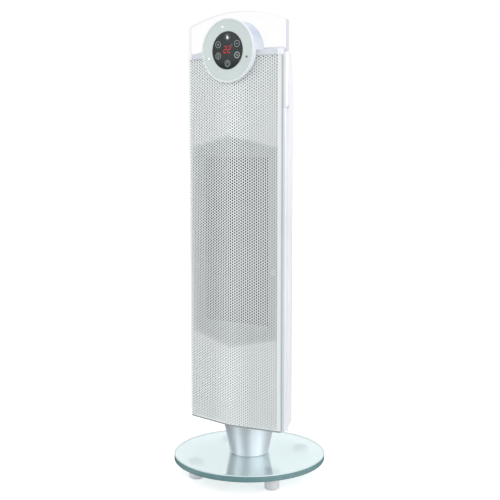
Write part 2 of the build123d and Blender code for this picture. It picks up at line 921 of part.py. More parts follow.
def make_plate_screws():
    length = boss_head_y - plate_front_y - plate_screw_tip_gap
    screw = Rot(90, 0, 0) * pan_screw(housing_screw_radius, length)
    return group([Pos(x, plate_front_y, z) * screw for x, z in plate_screw_places()])


def turned_about_dial(points):
    """A ring from (radius, y) points, turned about the dial's axis."""
    return Pos(0, 0, dial_height) * revolve(make_face(Polyline(*points, close=True)), Axis.Y)


def make_dial_drum():
    tube = rod(drum_radius, (ring_back_y, parting_y), z=dial_height)
    return tube - rod(drum_bore, (ring_back_y, parting_y), z=dial_height)


def make_drum_back():
    return rod(drum_bore - seat_gap, (parting_y - drum_back_thickness, parting_y), z=dial_height)


def lens_place(angle):
    return lens_circle_radius * cos(radians(angle)), dial_height + lens_circle_radius * sin(radians(angle))


def make_dial_ring():
    seat = display_radius + display_gap
    bezel_front = ring_face_y - display_bezel_rise
    lip_start = ring_radius - ring_lip_width
    lip = [(lip_start + ring_lip_width * across, ring_face_y - ring_lip * out) for across, out in ring_lip_shape]
    spigot = drum_bore - seat_gap
    ring = turned_about_dial([
        (display_radius - display_ledge, ring_back_y),
        (display_radius - display_ledge, display_back_y),
        (seat, display_back_y),
        (seat, bezel_front),
        (seat + display_bezel_flat, bezel_front),
        (seat + display_bezel, ring_face_y),
        *lip,
        (ring_radius, ring_back_y),
        (spigot, ring_back_y),
        (spigot, ring_back_y + spigot_length),
        (spigot - spigot_wall, ring_back_y + spigot_length),
        (spigot - spigot_wall, ring_back_y),
    ])
    for angle in indicator_angles:
        x, z = lens_place(angle)
        ring -= rod(lens_radius, (ring_face_y, ring_back_y), x, z)
    x, z = lens_place(sensor_angle)
    return ring - rod(sensor_radius, (ring_face_y, ring_back_y), x, z)


def lens(radius, angle):
    x, z = lens_place(angle)
    return rod(radius, (ring_face_y - lens_stand_out, ring_back_y), x, z)


def make_display_glass():
    return rod(display_radius, (ring_face_y, display_back_y), z=dial_height)


def make_display_board():
    back = display_board_front_y + board_thickness
    return rod(drum_bore - seat_gap, (display_board_front_y, back), z=dial_height)


def make_digit_display():
    return block((-digits_width / 2, digits_width / 2), (display_back_y, display_board_front_y),
                 (dial_height - digits_height / 2, dial_height + digits_height / 2))


# Heater
def barred_plate(x_range, z_range, y_range, cell_x, cell_z, bar_x, bar_z):
    """A plate with a grid of rectangular windows that fills its area."""
    columns = int((x_range[1] - x_range[0] - bar_x) // cell_x)
    rows = int((z_range[1] - z_range[0] - bar_z) // cell_z)
    step_x = (x_range[1] - x_range[0] - bar_x) / columns
    step_z = (z_range[1] - z_range[0] - bar_z) / rows

    def frame(x0, x1, z0, z1):
        corners = [(x0, y_range[0], z0), (x1, y_range[0], z0), (x1, y_range[0], z1), (x0, y_range[0], z1)]
        return Wire.make_polygon(corners, close=True)

    windows = []
    for i in range(columns):
        x = x_range[0] + bar_x + i * step_x
        for j in range(rows):
            z = z_range[0] + bar_z + j * step_z
            windows.append(frame(x, x + step_x - bar_x, z, z + step_z - bar_z))
    face = Face(frame(*x_range, *z_range), windows)
    return extrude(face, amount=y_range[1] - y_range[0], dir=BACKWARD)


def make_outlet_guard():
    width = window_half_width + guard_overlap
    return barred_plate((-width, width), (window_low - guard_overlap, window_high + guard_overlap),
                        (window_back_y, guard_back_y), guard_pitch_x, guard_pitch_z, guard_bar, guard_bar)


def heater_core():
    width = heater_half_width - heater_rim
    return width, heater_low + scroll_plate + heater_rim, heater_high - scroll_plate - heater_rim


def make_heater_frame():
    width, low, high = heater_core()
    frame = block((-heater_half_width, heater_half_width), (guard_back_y, heater_back_y), (heater_low, heater_high))
    return frame - block((-width, width), (guard_back_y, heater_back_y), (low, high))


def heater_bar_places():
    width = heater_core()[0]
    step = 2 * width / (heater_bar_count + 1)
    return [-width + step * (i + 1) for i in range(heater_bar_count)]


def make_heater_bars():
    low, high = heater_core()[1:]
    half = heater_bar_width / 2
    depth = (guard_back_y + heater_bar_inset, heater_back_y - heater_bar_inset)
    return group([block((x - half, x + half), depth, (low, high)) for x in heater_bar_places()])


def make_heater_fins():
    width, low, high = heater_core()
    half = heater_bar_width / 2
    edges = [-width] + [x + side * half for x in heater_bar_places() for side in (-1, 1)] + [width]
    depth = (guard_back_y + heater_bar_inset, heater_back_y - heater_bar_inset)
    columns = []
    for left, right in zip(edges[0::2], edges[1::2]):
        cell = right - left - fin_edge
        columns.append(barred_plate((left, right), (low, high), depth, cell, fin_pitch, fin_edge, fin_thickness))
    return group(columns)


def make_heater_terminals():
    middle = (guard_back_y + heater_back_y) / 2
    half = terminal_width / 2
    thick = terminal_thickness / 2
    return group([
        block((x - half, x + half), (middle - thick, middle + thick), (heater_low - terminal_length, heater_low))
        for x in heater_bar_places()[:terminal_count]
    ])


def make_thermal_cutout():
    middle = (guard_back_y + heater_back_y) / 2
    return post(cutout_radius, (heater_high, heater_high + cutout_height), 0, middle)


# Crossflow fan
def scroll_point(share, extra=0.0):
    """A point of the scroll's spiral, from its start behind the fan to the outlet's right edge."""
    corner_x = heater_half_width - heater_rim - fan_x
    corner_y = heater_back_y - fan_y
    start_radius = fan_radius + scroll_gap
    end_radius = hypot(corner_x, corner_y)
    start_angle = radians(scroll_start_angle)
    angle = start_angle + share * (atan2(corner_y, corner_x) - start_angle)
    radius = start_radius * (end_radius / start_radius) ** share + extra
    return fan_x + radius * cos(angle), fan_y + radius * sin(angle)


def scroll_outline(steps=8):
    inside = Spline(*[scroll_point(i / steps) for i in range(steps + 1)])
    outside = Spline(*[scroll_point(i / steps, scroll_wall) for i in range(steps, -1, -1)])
    return inside + Line(inside @ 1, outside @ 0) + outside + Line(outside @ 1, inside @ 0)


def tongue_points():
    reach = fan_radius + tongue_gap
    angle = radians(tongue_angle)
    nose = (fan_x + reach * cos(angle), fan_y + reach * sin(angle))
    left = heater_core()[0]
    return [nose, (-left, heater_back_y), (-left - scroll_wall, heater_back_y),
            (nose[0] - scroll_wall, nose[1] + scroll_wall)]


def scroll_plate_outline():
    left = heater_half_width
    rim = Pos(fan_x, fan_y) * Circle(fan_radius + scroll_gap + scroll_wall)
    spiral = make_face(scroll_outline())
    front = Line((-left, heater_back_y), (left, heater_back_y))
    hull = make_hull(rim.edges() + spiral.edges() + front.edges())
    return hull - Pos(0, heater_back_y) * Rectangle(BEYOND, BEYOND, align=(Align.CENTER, Align.MAX))


def make_scroll_housing():
    inner = (heater_low + scroll_plate, heater_high - scroll_plate)
    walls = extrude(Pos(0, 0, inner[0]) * make_face(scroll_outline()), inner[1] - inner[0])
    walls -= block(THROUGH, (-BEYOND, heater_back_y), THROUGH)
    walls += prism(tongue_points(), inner)
    plate = scroll_plate_outline()
    lower = extrude(Pos(0, 0, heater_low) * plate, scroll_plate)
    upper = extrude(Pos(0, 0, inner[1]) * plate, scroll_plate)
    lower -= post(shaft_radius + moving_gap, (heater_low, inner[0]), fan_x, fan_y)
    for x, y in motor_screw_places():
        lower -= post(motor_screw_radius + screw_gap, (heater_low, inner[0]), x, y)
    upper -= post(top_bush_radius, (inner[1], heater_high), fan_x, fan_y)
    return walls + lower + upper


def motor_screw_places():
    return [(fan_x + side * motor_screw_reach, fan_y) for side in (-1, 1)]


def blade_outline():
    """One curved blade, from the outer rim inwards."""
    steps = 4
    rows = []
    for side in (-0.5, 0.5):
        line = []
        for i in range(steps + 1):
            share = i / steps
            radius = fan_radius - blade_depth * share
            angle = radians(blade_sweep) * share * share + side * blade_thickness / radius
            line.append((radius * cos(angle), radius * sin(angle)))
        rows.append(line)
    return rows[0] + rows[1][::-1]


def make_fan_wheel():
    height = fan_high - fan_low
    blade = prism(blade_outline(), (fan_low, fan_high))
    blades = [Rot(0, 0, 360 * i / blade_count) * blade for i in range(blade_count)]
    middle = fan_low + height / 2 - fan_disc_thickness / 2
    discs = [post(fan_radius, (z, z + fan_disc_thickness))
             for z in (fan_low, middle, fan_high - fan_disc_thickness)]
    wheel = joined(discs + blades)
    wheel -= post(shaft_radius, (fan_low, fan_high))
    return Pos(fan_x, fan_y, 0) * wheel


def make_fan_shaft():
    low = heater_low - motor_height + motor_wall + moving_gap
    return post(shaft_radius, (low, heater_high + top_bush_flange), fan_x, fan_y)


def make_fan_motor():
    low = heater_low - motor_height
    can = post(motor_radius, (low, heater_low), fan_x, fan_y)
    can = fillet(can.edges().group_by(Axis.Z)[0], motor_wall)
    can -= post(shaft_radius + running_gap, (low + motor_wall, heater_low), fan_x, fan_y)
    for x, y in motor_screw_places():
        can -= post(motor_screw_radius, (heater_low - motor_wall, heater_low), x, y)
    return can


def make_fan_motor_screws():
    seat = heater_low + scroll_plate
    screw = pan_screw(motor_screw_radius, scroll_plate + motor_wall)
    return group([Pos(x, y, seat) * screw for x, y in motor_screw_places()])


def make_top_bush():
    bore = shaft_radius + running_gap
    inner_face = heater_high - scroll_plate
    bush = collar(top_bush_radius, bore, (inner_face, heater_high), fan_x, fan_y)
    rim = top_bush_radius + top_bush_flange
    return bush + collar(rim, bore, (heater_high, heater_high + top_bush_flange), fan_x, fan_y)


# Floor of the tower and what stands on it
def make_tower_floor():
    half = flange_half_width - housing_wall - floor_inset
    depth = housing_depth - housing_wall - floor_inset
    oval = Ellipse(housing_half_width - housing_wall - floor_inset, depth)
    back = extrude(Pos(0, housing_centre_y, floor_low) * oval, floor_thickness)
    back &= block((-half, half), (parting_y, housing_back_y), (floor_low, floor_top))
    fascia_back = fascia_offset + fascia_thickness + seat_gap
    points = [(-half, fold_y(half, fascia_back)), (0, fold_y(0, fascia_back)), (half, fold_y(half, fascia_back)),
              (half, parting_y), (-half, parting_y)]
    floor = back + prism(points, (floor_low, floor_top))
    floor += post(bush_rim - seat_gap, (boss_low, floor_low))
    floor -= post(pivot_radius, (boss_low, floor_top))
    floor -= post(pinion_shaft_radius + moving_gap, (floor_low, floor_top), -gear_centre_distance)
    for x, y in osc_ear_places():
        floor += post(osc_ear_radius, (floor_top, osc_motor_low), x, y)
        floor -= post(osc_screw_radius, (floor_top, osc_motor_low), x, y)
    for side in (-1, 1):
        x = power_board_x + side * (power_board_width / 2 - board_stand)
        floor += block((x - board_stand / 2, x + board_stand / 2), (power_board_y, power_board_y + board_stand),
                       (floor_top, floor_top + board_stand_height))
    return floor


def make_power_board():
    half = power_board_width / 2
    return block((power_board_x - half, power_board_x + half), (power_board_y - board_thickness, power_board_y),
                 (floor_top, floor_top + power_board_height))


def make_board_relays():
    width, depth, height = relay_size
    back = power_board_y - board_thickness
    low = floor_top + power_board_height - height - relay_inset
    step = power_board_width / relay_count
    left = power_board_x - power_board_width / 2
    return group([
        block((left + step * i + (step - width) / 2, left + step * i + (step + width) / 2),
              (back - depth, back), (low, low + height))
        for i in range(relay_count)
    ])


def make_tilt_switch():
    width, depth, height = tilt_switch_size
    return block((tilt_switch_x - width / 2, tilt_switch_x + width / 2),
                 (tilt_switch_y - depth / 2, tilt_switch_y + depth / 2), (floor_top, floor_top + height))


def make_parts():
    right_frame, left_frame = both_sides(make_side_frame())
    return {
        "glass_base": make_glass_base(),
        "base_feet": make_base_feet(),
        "foot_pads": make_foot_pads(),
        "clamp_gasket": make_clamp_gasket(),
        "clamp_plate": make_clamp_plate(),
        "clamp_screws": make_clamp_screws(),
        "neck_gasket": make_neck_gasket(),
        "neck": make_neck(),
        "pivot_bush": make_pivot_bush(),
        "fixed_gear": make_fixed_gear(),
        "pivot_tube": make_pivot_tube(),
        "thrust_washer": make_thrust_washer(),
        "retaining_washer": make_retaining_washer(),
        "retaining_clip": make_retaining_clip(),
        "drive_pinion": make_drive_pinion(),
        "pinion_shaft": make_pinion_shaft(),
        "osc_motor": make_osc_motor(),
        "osc_motor_screws": make_osc_motor_screws(),
        "tower_floor": make_tower_floor(),
        "side_frame_left": left_frame,
        "side_frame_right": right_frame,
        "rear_housing": make_rear_housing(),
        "housing_screws": make_housing_screws(),
        "filter_panel": make_filter_panel(),
        "filter_foam": make_filter_foam(),
        "switch_body": make_switch_body(),
        "rocker": make_rocker(),
        "cord_inlet": make_cord_inlet(),
        "front_grille": make_front_grille(),
        "grille_rail": make_grille_rail(),
        "rail_end_caps": make_rail_end_caps(),
        "fascia": make_fascia(),
        "head_plate": make_head_plate(),
        "head_bracket": make_head_bracket(),
        "plate_screws": make_plate_screws(),
        "dial_drum": make_dial_drum(),
        "drum_back": make_drum_back(),
        "dial_ring": make_dial_ring(),
        "indicator_lenses": group([lens(lens_radius, angle) for angle in indicator_angles]),
        "sensor_lens": lens(sensor_radius, sensor_angle),
        "display_glass": make_display_glass(),
        "display_board": make_display_board(),
        "digit_display": make_digit_display(),
        "outlet_guard": make_outlet_guard(),
        "heater_frame": make_heater_frame(),
        "heater_bars": make_heater_bars(),
        "heater_fins": make_heater_fins(),
        "heater_terminals": make_heater_terminals(),
        "thermal_cutout": make_thermal_cutout(),
        "scroll_housing": make_scroll_housing(),
        "fan_wheel": make_fan_wheel(),
        "fan_shaft": make_fan_shaft(),
        "fan_motor": make_fan_motor(),
        "fan_motor_screws": make_fan_motor_screws(),
        "top_bush": make_top_bush(),
        "power_board": make_power_board(),
        "board_relays": make_board_relays(),
        "tilt_switch": make_tilt_switch(),
    }


os.makedirs("parts", exist_ok=True)
for node, shape in make_parts().items():
    export_step(shape, f"parts/{node}.step")
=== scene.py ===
from math import atan2, cos, hypot, pi, radians, sin, sqrt

import bmesh
import bpy
from mathutils import Matrix, Vector


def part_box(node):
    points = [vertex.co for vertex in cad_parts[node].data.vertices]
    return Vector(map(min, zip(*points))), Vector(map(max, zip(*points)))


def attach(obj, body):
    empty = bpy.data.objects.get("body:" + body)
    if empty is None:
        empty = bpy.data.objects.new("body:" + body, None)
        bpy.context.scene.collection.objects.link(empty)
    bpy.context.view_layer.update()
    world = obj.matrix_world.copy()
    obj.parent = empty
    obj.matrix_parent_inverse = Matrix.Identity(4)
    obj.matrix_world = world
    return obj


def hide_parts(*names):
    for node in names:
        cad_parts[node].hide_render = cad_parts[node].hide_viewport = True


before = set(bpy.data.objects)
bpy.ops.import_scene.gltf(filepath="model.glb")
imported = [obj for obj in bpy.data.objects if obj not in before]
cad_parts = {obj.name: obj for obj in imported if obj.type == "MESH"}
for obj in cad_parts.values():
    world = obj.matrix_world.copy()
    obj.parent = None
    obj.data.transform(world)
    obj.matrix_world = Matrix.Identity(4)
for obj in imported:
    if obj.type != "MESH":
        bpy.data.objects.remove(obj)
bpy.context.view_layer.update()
MM = 0.001

# Camera of the photograph, 500 by 500, with its turn and pitch in degrees and its lens in millimetres
CAMERA_PLACE = (0.843245, -1.225233, 0.517382)
CAMERA_TURN = 34.498
CAMERA_PITCH = 6.183
CAMERA_LENS = 68.61
CAMERA_SENSOR = 36.0


# Colours are written as they show on a screen, from 0 to 255
def srgb(red, green, blue):
    def linear(value):
        value /= 255
        return value / 12.92 if value <= 0.04045 else ((value + 0.055) / 1.055) ** 2.4
    return (linear(red), linear(green), linear(blue), 1.0)


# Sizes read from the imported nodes
def span(node, axis):
    low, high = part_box(node)
    return low[axis], high[axis]


X, Y, Z = 0, 1, 2
GLASS_LOW, GLASS_TOP = span("glass_base", Z)
GLASS_RADIUS = span("glass_base", X)[1]
NECK_LOW, NECK_TOP = span("neck", Z)
TOWER_LOW, SHEET_TOP = span("front_grille", Z)
SHEET_HALF = span("front_grille", X)[1]
RIDGE_Y = span("front_grille", Y)[0]
SHEET_THICK = 0.8 * MM
EDGE_Y = span("front_grille", Y)[1] - SHEET_THICK
RAIL_TOP = span("grille_rail", Z)[1]
RAIL_HALF = span("grille_rail", X)[1]
PLATE_FRONT, PLATE_BACK = span("head_plate", Y)
PLATE_LOW, PLATE_CROWN = span("head_plate", Z)
PLATE_HALF = span("head_plate", X)[1]
DRUM_RADIUS = span("dial_drum", X)[1]
DRUM_FRONT, DRUM_BACK = span("dial_drum", Y)
DIAL_Z = sum(span("dial_drum", Z)) / 2
RING_RADIUS = span("dial_ring", X)[1]
RING_FRONT = span("dial_ring", Y)[0]
DISPLAY_RADIUS = span("display_glass", X)[1]
DISPLAY_FRONT, DISPLAY_BACK = span("display_glass", Y)
FOLD_SLOPE = (EDGE_Y - RIDGE_Y) / SHEET_HALF


def fold_y(x, offset=0.0):
    return RIDGE_Y + offset + FOLD_SLOPE * abs(x)


# Shader tools. Nearly all of a noise lies between these two values
NOISE_LOW, NOISE_HIGH = 0.3, 0.7


def noise(nodes, links, coords, scale, detail=2.0, roughness=0.5):
    node = nodes.new("ShaderNodeTexNoise")
    node.inputs["Scale"].default_value = scale
    node.inputs["Detail"].default_value = detail
    node.inputs["Roughness"].default_value = roughness
    links.new(coords, node.inputs["Vector"])
    return node.outputs["Fac"]


def scaled(nodes, links, value, from_low, from_high, to_low, to_high):
    """Maps a value from one range to another, and holds it within the second."""
    node = nodes.new("ShaderNodeMapRange")
    node.inputs["From Min"].default_value = from_low
    node.inputs["From Max"].default_value = from_high
    node.inputs["To Min"].default_value = to_low
    node.inputs["To Max"].default_value = to_high
    links.new(value, node.inputs["Value"])
    return node.outputs["Result"]


def ranged(nodes, links, value, low, high):
    """Spreads a noise from low to high."""
    return scaled(nodes, links, value, NOISE_LOW, NOISE_HIGH, low, high)


def blended(nodes, links, factor, first, second, mode="MIX"):
    node = nodes.new("ShaderNodeMix")
    node.data_type = "RGBA"
    node.blend_type = mode
    links.new(factor, node.inputs["Factor"])
    for socket, value in ((node.inputs["A"], first), (node.inputs["B"], second)):
        if isinstance(value, tuple):
            socket.default_value = value
        else:
            links.new(value, socket)
    return node.outputs["Result"]


def calculated(nodes, links, operation, first, second=0.0):
    node = nodes.new("ShaderNodeMath")
    node.operation = operation
    for socket, value in zip(node.inputs, (first, second)):
        if isinstance(value, (int, float)):
            socket.default_value = value
        else:
            links.new(value, socket)
    return node.outputs["Value"]


def mixed(nodes, links, factor, first, second):
    node = nodes.new("ShaderNodeMixShader")
    if isinstance(factor, float):
        node.inputs[0].default_value = factor
    else:
        links.new(factor, node.inputs[0])
    links.new(first, node.inputs[1])
    links.new(second, node.inputs[2])
    return node.outputs["Shader"]


def place_parts(nodes, links):
    """X, Y and Z of a point of the object, in metres."""
    parts = nodes.new("ShaderNodeSeparateXYZ")
    links.new(nodes.new("ShaderNodeTexCoord").outputs["Object"], parts.inputs["Vector"])
    return parts.outputs["X"], parts.outputs["Y"], parts.outputs["Z"]


def from_middle(nodes, links):
    """How far a point is from the object's plane of symmetry."""
    return calculated(nodes, links, "ABSOLUTE", place_parts(nodes, links)[X])


def shaded(mat, shade, amount_of):
    """Multiplies a finish's colour by shade, as much as amount_of(nodes, links) says."""
    nodes, links = mat.node_tree.nodes, mat.node_tree.links
    base = nodes["Principled BSDF"].inputs["Base Color"]
    colour = base.links[0].from_socket
    links.new(blended(nodes, links, amount_of(nodes, links), colour, shade, "MULTIPLY"), base)


def clear_to_lamps(nodes, links, shader, tint):
    """Ends a material with a shader that lets a lamp's light through, tinted."""
    path = nodes.new("ShaderNodeLightPath")
    through = nodes.new("ShaderNodeBsdfTransparent")
    through.inputs["Color"].default_value = tint
    shader = mixed(nodes, links, path.outputs["Is Shadow Ray"], shader, through.outputs["BSDF"])
    links.new(shader, nodes["Material Output"].inputs["Surface"])


# Kinds of finish
def surface(name, colour, rough, spread=0.04, shade=0.94, patch=14.0, grain=1500.0, bump=0.05,
            depth=0.05 * MM, stretch=(1, 1, 1), metallic=0.0, **sockets):
    """An opaque finish whose colour, gloss and relief vary a little over the surface."""
    mat = bpy.data.materials.new(name)
    mat.use_nodes = True
    nodes, links = mat.node_tree.nodes, mat.node_tree.links
    shader = nodes["Principled BSDF"]
    shader.inputs["Metallic"].default_value = metallic
    for socket, value in sockets.items():
        shader.inputs[socket.replace("_", " ")].default_value = value
    coords = nodes.new("ShaderNodeTexCoord").outputs["Object"]
    mapping = nodes.new("ShaderNodeMapping")
    mapping.inputs["Scale"].default_value = stretch
    links.new(coords, mapping.inputs["Vector"])
    coords = mapping.outputs["Vector"]
    fine = noise(nodes, links, coords, grain, 3.0, 0.6)
    broad = noise(nodes, links, coords, patch, 3.0, 0.55)
    darker = tuple(c * shade for c in colour[:3]) + (1.0,)
    varied = blended(nodes, links, ranged(nodes, links, broad, 0, 1), colour, darker)
    links.new(varied, shader.inputs["Base Color"])
    links.new(ranged(nodes, links, fine, rough - spread, rough + spread), shader.inputs["Roughness"])
    relief = nodes.new("ShaderNodeBump")
    relief.inputs["Strength"].default_value = bump
    relief.inputs["Distance"].default_value = depth
    links.new(fine, relief.inputs["Height"])
    links.new(relief.outputs["Normal"], shader.inputs["Normal"])
    return mat


def mirrored_glass(name, tint, share, mirror_tint, rough, lamp_tint):
    """Misted glass under a smooth face that mirrors a share of what is above it."""
    mat = surface(name, tint, rough, spread=0.03, shade=0.985, patch=18.0, grain=400.0, bump=0.0,
                  Transmission_Weight=1.0, IOR=1.5, Specular_IOR_Level=0.0)
    nodes, links = mat.node_tree.nodes, mat.node_tree.links
    gloss = nodes.new("ShaderNodeBsdfAnisotropic")
    gloss.inputs["Color"].default_value = mirror_tint
    gloss.inputs["Roughness"].default_value = 0.02
    body = nodes["Principled BSDF"].outputs["BSDF"]
    clear_to_lamps(nodes, links, mixed(nodes, links, share, body, gloss.outputs["BSDF"]), lamp_tint)
    return mat


def film(name, tint, gloss_at_edge, rough, patch=60.0, haze=0.985, gloss=0.03):
    """A clear face that tints what is behind it and shines where it is seen edge-on."""
    mat = bpy.data.materials.new(name)
    mat.use_nodes = True
    nodes, links = mat.node_tree.nodes, mat.node_tree.links
    nodes.remove(nodes["Principled BSDF"])
    coords = nodes.new("ShaderNodeTexCoord").outputs["Object"]
    through = nodes.new("ShaderNodeBsdfTransparent")
    faint = tuple(c * haze for c in tint[:3]) + (1.0,)
    wave = ranged(nodes, links, noise(nodes, links, coords, patch, 2.0), 0, 1)
    links.new(blended(nodes, links, wave, tint, faint), through.inputs["Color"])
    mirror = nodes.new("ShaderNodeBsdfAnisotropic")
    mirror.inputs["Color"].default_value = (1, 1, 1, 1)
    smear = noise(nodes, links, coords, patch * 4, 3.0)
    links.new(ranged(nodes, links, smear, rough * 0.6, rough * 1.4), mirror.inputs["Roughness"])
    edge_on = nodes.new("ShaderNodeLayerWeight").outputs["Facing"]
    steep = calculated(nodes, links, "POWER", edge_on, 5.0)
    shine = scaled(nodes, links, steep, 0, 1, gloss, gloss_at_edge)
    shader = mixed(nodes, links, shine, through.outputs["BSDF"], mirror.outputs["BSDF"])
    clear_to_lamps(nodes, links, shader, tint)
    return mat


def turned_metal(name, colour, rough, metallic, **more):
    """Silver metal turned on a lathe, which spreads its highlights along the axis."""
    mat = surface(name, colour, rough, metallic=metallic, stretch=(0.3, 0.3, 3.0), grain=900.0,
                  Anisotropic=0.85, Anisotropic_Rotation=0.25, **more)
    nodes, links = mat.node_tree.nodes, mat.node_tree.links
    tangent = nodes.new("ShaderNodeTangent")
    tangent.direction_type = "RADIAL"
    tangent.axis = "Z"
    links.new(tangent.outputs["Tangent"], nodes["Principled BSDF"].inputs["Tangent"])
    return mat


def glowing(name, colour, strength):
    mat = surface(name, colour, 0.35)
    shader = mat.node_tree.nodes["Principled BSDF"]
    shader.inputs["Emission Color"].default_value = colour
    shader.inputs["Emission Strength"].default_value = strength
    return mat


# Finishes of this heater
sheet_paint = surface("sheet_paint", srgb(247, 251, 250), 0.38, patch=9.0, shade=0.97)
rail_paint = surface("rail_paint", srgb(216, 221, 229), 0.32)
cap_white = surface("cap_white", srgb(247, 248, 251), 0.35)
shell_white = surface("shell_white", srgb(243, 243, 247), 0.42, grain=2200.0, bump=0.12)
fascia_grey = surface("fascia_grey", srgb(224, 230, 230), 0.5, grain=2200.0, bump=0.1)
side_paint = surface("side_paint", srgb(248, 250, 253), 0.4)
rim_paint = surface("rim_paint", srgb(233, 237, 238), 0.35)
rim_shade = surface("rim_shade", srgb(152, 160, 162), 0.5)
flange_white = surface("flange_white", srgb(252, 251, 254), 0.35)
ring_paint = surface("ring_paint", srgb(208, 219, 217), 0.34, grain=2600.0, patch=22.0)
drum_paint = surface("drum_paint", srgb(238, 242, 249), 0.3)
lip_white = surface("lip_white", srgb(232, 236, 240), 0.25)
neck_silver = turned_metal("neck_silver", srgb(240, 244, 248), 0.42, 0.85)
foot_silver = turned_metal("foot_silver", srgb(250, 250, 253), 0.32, 0.2, spread=0.015, bump=0.0,
                           shade=0.985)
bond_white = surface("bond_white", srgb(248, 250, 250), 0.4)
plate_foot = surface("plate_foot", srgb(250, 250, 252), 0.3)
panel_black = surface("panel_black", srgb(34, 40, 40), 0.12, spread=0.03, bump=0.02)
glass_edge = surface("glass_edge", srgb(110, 151, 154), 0.1, spread=0.03, patch=40.0, shade=0.85, IOR=2.6)
# Painted highlight: the glass's top bevel is a pale colour, for the light caught along its rim
glass_bevel_highlight = surface("glass_bevel_highlight", srgb(206, 224, 226), 0.12, spread=0.04, patch=40.0, shade=0.93)
print_white = surface("print_white", srgb(156, 163, 163), 0.5)
flame_white = surface("flame_white", srgb(246, 248, 248), 0.5)
sensor_dark = surface("sensor_dark", srgb(96, 108, 108), 0.15)
rubber_grey = surface("rubber_grey", srgb(205, 208, 208), 0.6, bump=0.2)
steel = surface("steel", srgb(196, 198, 202), 0.3, metallic=1.0, stretch=(1, 1, 6), bump=0.1)
brass = surface("brass", srgb(214, 186, 116), 0.3, metallic=1.0, bump=0.1)
# Painted shade: the heater's bars and fins are a dark bluish grey, standing in for the shade inside the
# outlet
shaded_fin_metal = surface("shaded_fin_metal", srgb(60, 68, 80), 0.5, metallic=0.3, bump=0.2)
acetal = surface("acetal", srgb(238, 236, 228), 0.4)
dark_moulded = surface("dark_moulded", srgb(44, 50, 60), 0.55, bump=0.2)
black_moulded = surface("black_moulded", srgb(34, 35, 36), 0.45, bump=0.2)
guard_grey = surface("guard_grey", srgb(56, 64, 76), 0.45)
board_green = surface("board_green", srgb(38, 96, 58), 0.4, patch=60.0, shade=0.7)
foam_grey = surface("foam_grey", srgb(70, 73, 76), 0.9, grain=700.0, shade=0.6, patch=500.0, bump=0.8,
                    depth=0.6 * MM)
base_glass = mirrored_glass("base_glass", (0.72, 0.95, 0.95, 1), 0.72, (0.84, 0.92, 0.93, 1), 0.35,
                            (0.85, 0.98, 0.98, 1))
glass_under = film("glass_under", (0.97, 1.0, 1.0, 1), 0.5, 0.1)
clear_plate = film("clear_plate", (1, 1, 1, 1), 0.6, 0.04, haze=0.995, gloss=0.012)
plate_rim = film("plate_rim", (0.77, 0.79, 0.87, 1), 0.3, 0.12)
plate_arch = film("plate_arch", (0.95, 0.91, 0.95, 1), 0.1, 0.12)
digits_red = glowing("digits_red", srgb(188, 40, 52), 0.28)
lens_white = glowing("lens_white", srgb(250, 252, 252), 0.4)

# Painted shade: the inner front is darker on its right half, and again in the recess round the outlet
FASCIA_FRONT = span("fascia", Y)[0]
FASCIA_SKIN = 0.2 * MM
RIDGE_BLEND = 2.0 * MM
RECESS_LIP = 2.5 * MM


def right_half_shade(nodes, links):
    return scaled(nodes, links, place_parts(nodes, links)[X], -RIDGE_BLEND, RIDGE_BLEND, 0, 1)


def recess_shade(nodes, links):
    x, y, _ = place_parts(nodes, links)
    folded = calculated(nodes, links, "MULTIPLY", calculated(nodes, links, "ABSOLUTE", x), FOLD_SLOPE)
    depth = calculated(nodes, links, "SUBTRACT", y, folded)
    start = FASCIA_FRONT + FASCIA_SKIN
    return scaled(nodes, links, depth, start, start + RECESS_LIP, 0, 1)


shaded(fascia_grey, (0.92, 0.93, 0.94, 1), right_half_shade)
shaded(fascia_grey, (0.56, 0.57, 0.60, 1), recess_shade)

# Painted light and shade: the sheet is lightest along its ridge and darker away from it
LIGHT_TO = 10.0 * MM
DARKEST_FROM = 34.0 * MM


def off_ridge_shade(nodes, links):
    return scaled(nodes, links, from_middle(nodes, links), LIGHT_TO, DARKEST_FROM, 0, 1)


shaded(sheet_paint, (0.91, 0.91, 0.915, 1), off_ridge_shade)

# Painted shade: it is darker in front of the recess, whose long sides are straight and whose ends rise to the
# ridge
RECESS_HALF = 79.0 * MM
RECESS_LOW, RECESS_HIGH = 227.0 * MM, 517.0 * MM
RECESS_PEAK = 17.0 * MM
RECESS_SOFT = 2.0 * MM


def before_recess_shade(nodes, links):
    x, _, z = place_parts(nodes, links)
    across = calculated(nodes, links, "ABSOLUTE", x)
    peak = scaled(nodes, links, across, 0, RECESS_HALF, RECESS_PEAK, 0)
    below = calculated(nodes, links, "SUBTRACT", RECESS_LOW, calculated(nodes, links, "ADD", z, peak))
    lowered = calculated(nodes, links, "SUBTRACT", z, peak)
    above = calculated(nodes, links, "SUBTRACT", lowered, RECESS_HIGH)
    beside = calculated(nodes, links, "SUBTRACT", across, RECESS_HALF)
    over_or_under = calculated(nodes, links, "MAXIMUM", below, above)
    outside = calculated(nodes, links, "MAXIMUM", over_or_under, beside)
    return scaled(nodes, links, outside, -RECESS_SOFT, RECESS_SOFT, 1, 0)


shaded(sheet_paint, (0.86, 0.865, 0.88, 1), before_recess_shade)

# Painted shade: the drum is darker and bluer towards its top
DRUM_DARKENS = DIAL_Z + 4.0 * MM
DRUM_DARK = DIAL_Z + 26.0 * MM


def drum_top_shade(nodes, links):
    return scaled(nodes, links, place_parts(nodes, links)[Z], DRUM_DARKENS, DRUM_DARK, 0, 1)


shaded(drum_paint, (0.66, 0.72, 0.81, 1), drum_top_shade)

# The side walls are in the sheet's shade at their front, less far near the top
SHADE_FADE = 4.0 * MM
SHADE_WIDE, SHADE_WIDE_AT = 7.0 * MM, SHEET_TOP - 150.0 * MM
SHADE_SLIM, SHADE_SLIM_AT = 2.5 * MM, SHEET_TOP - 30.0 * MM


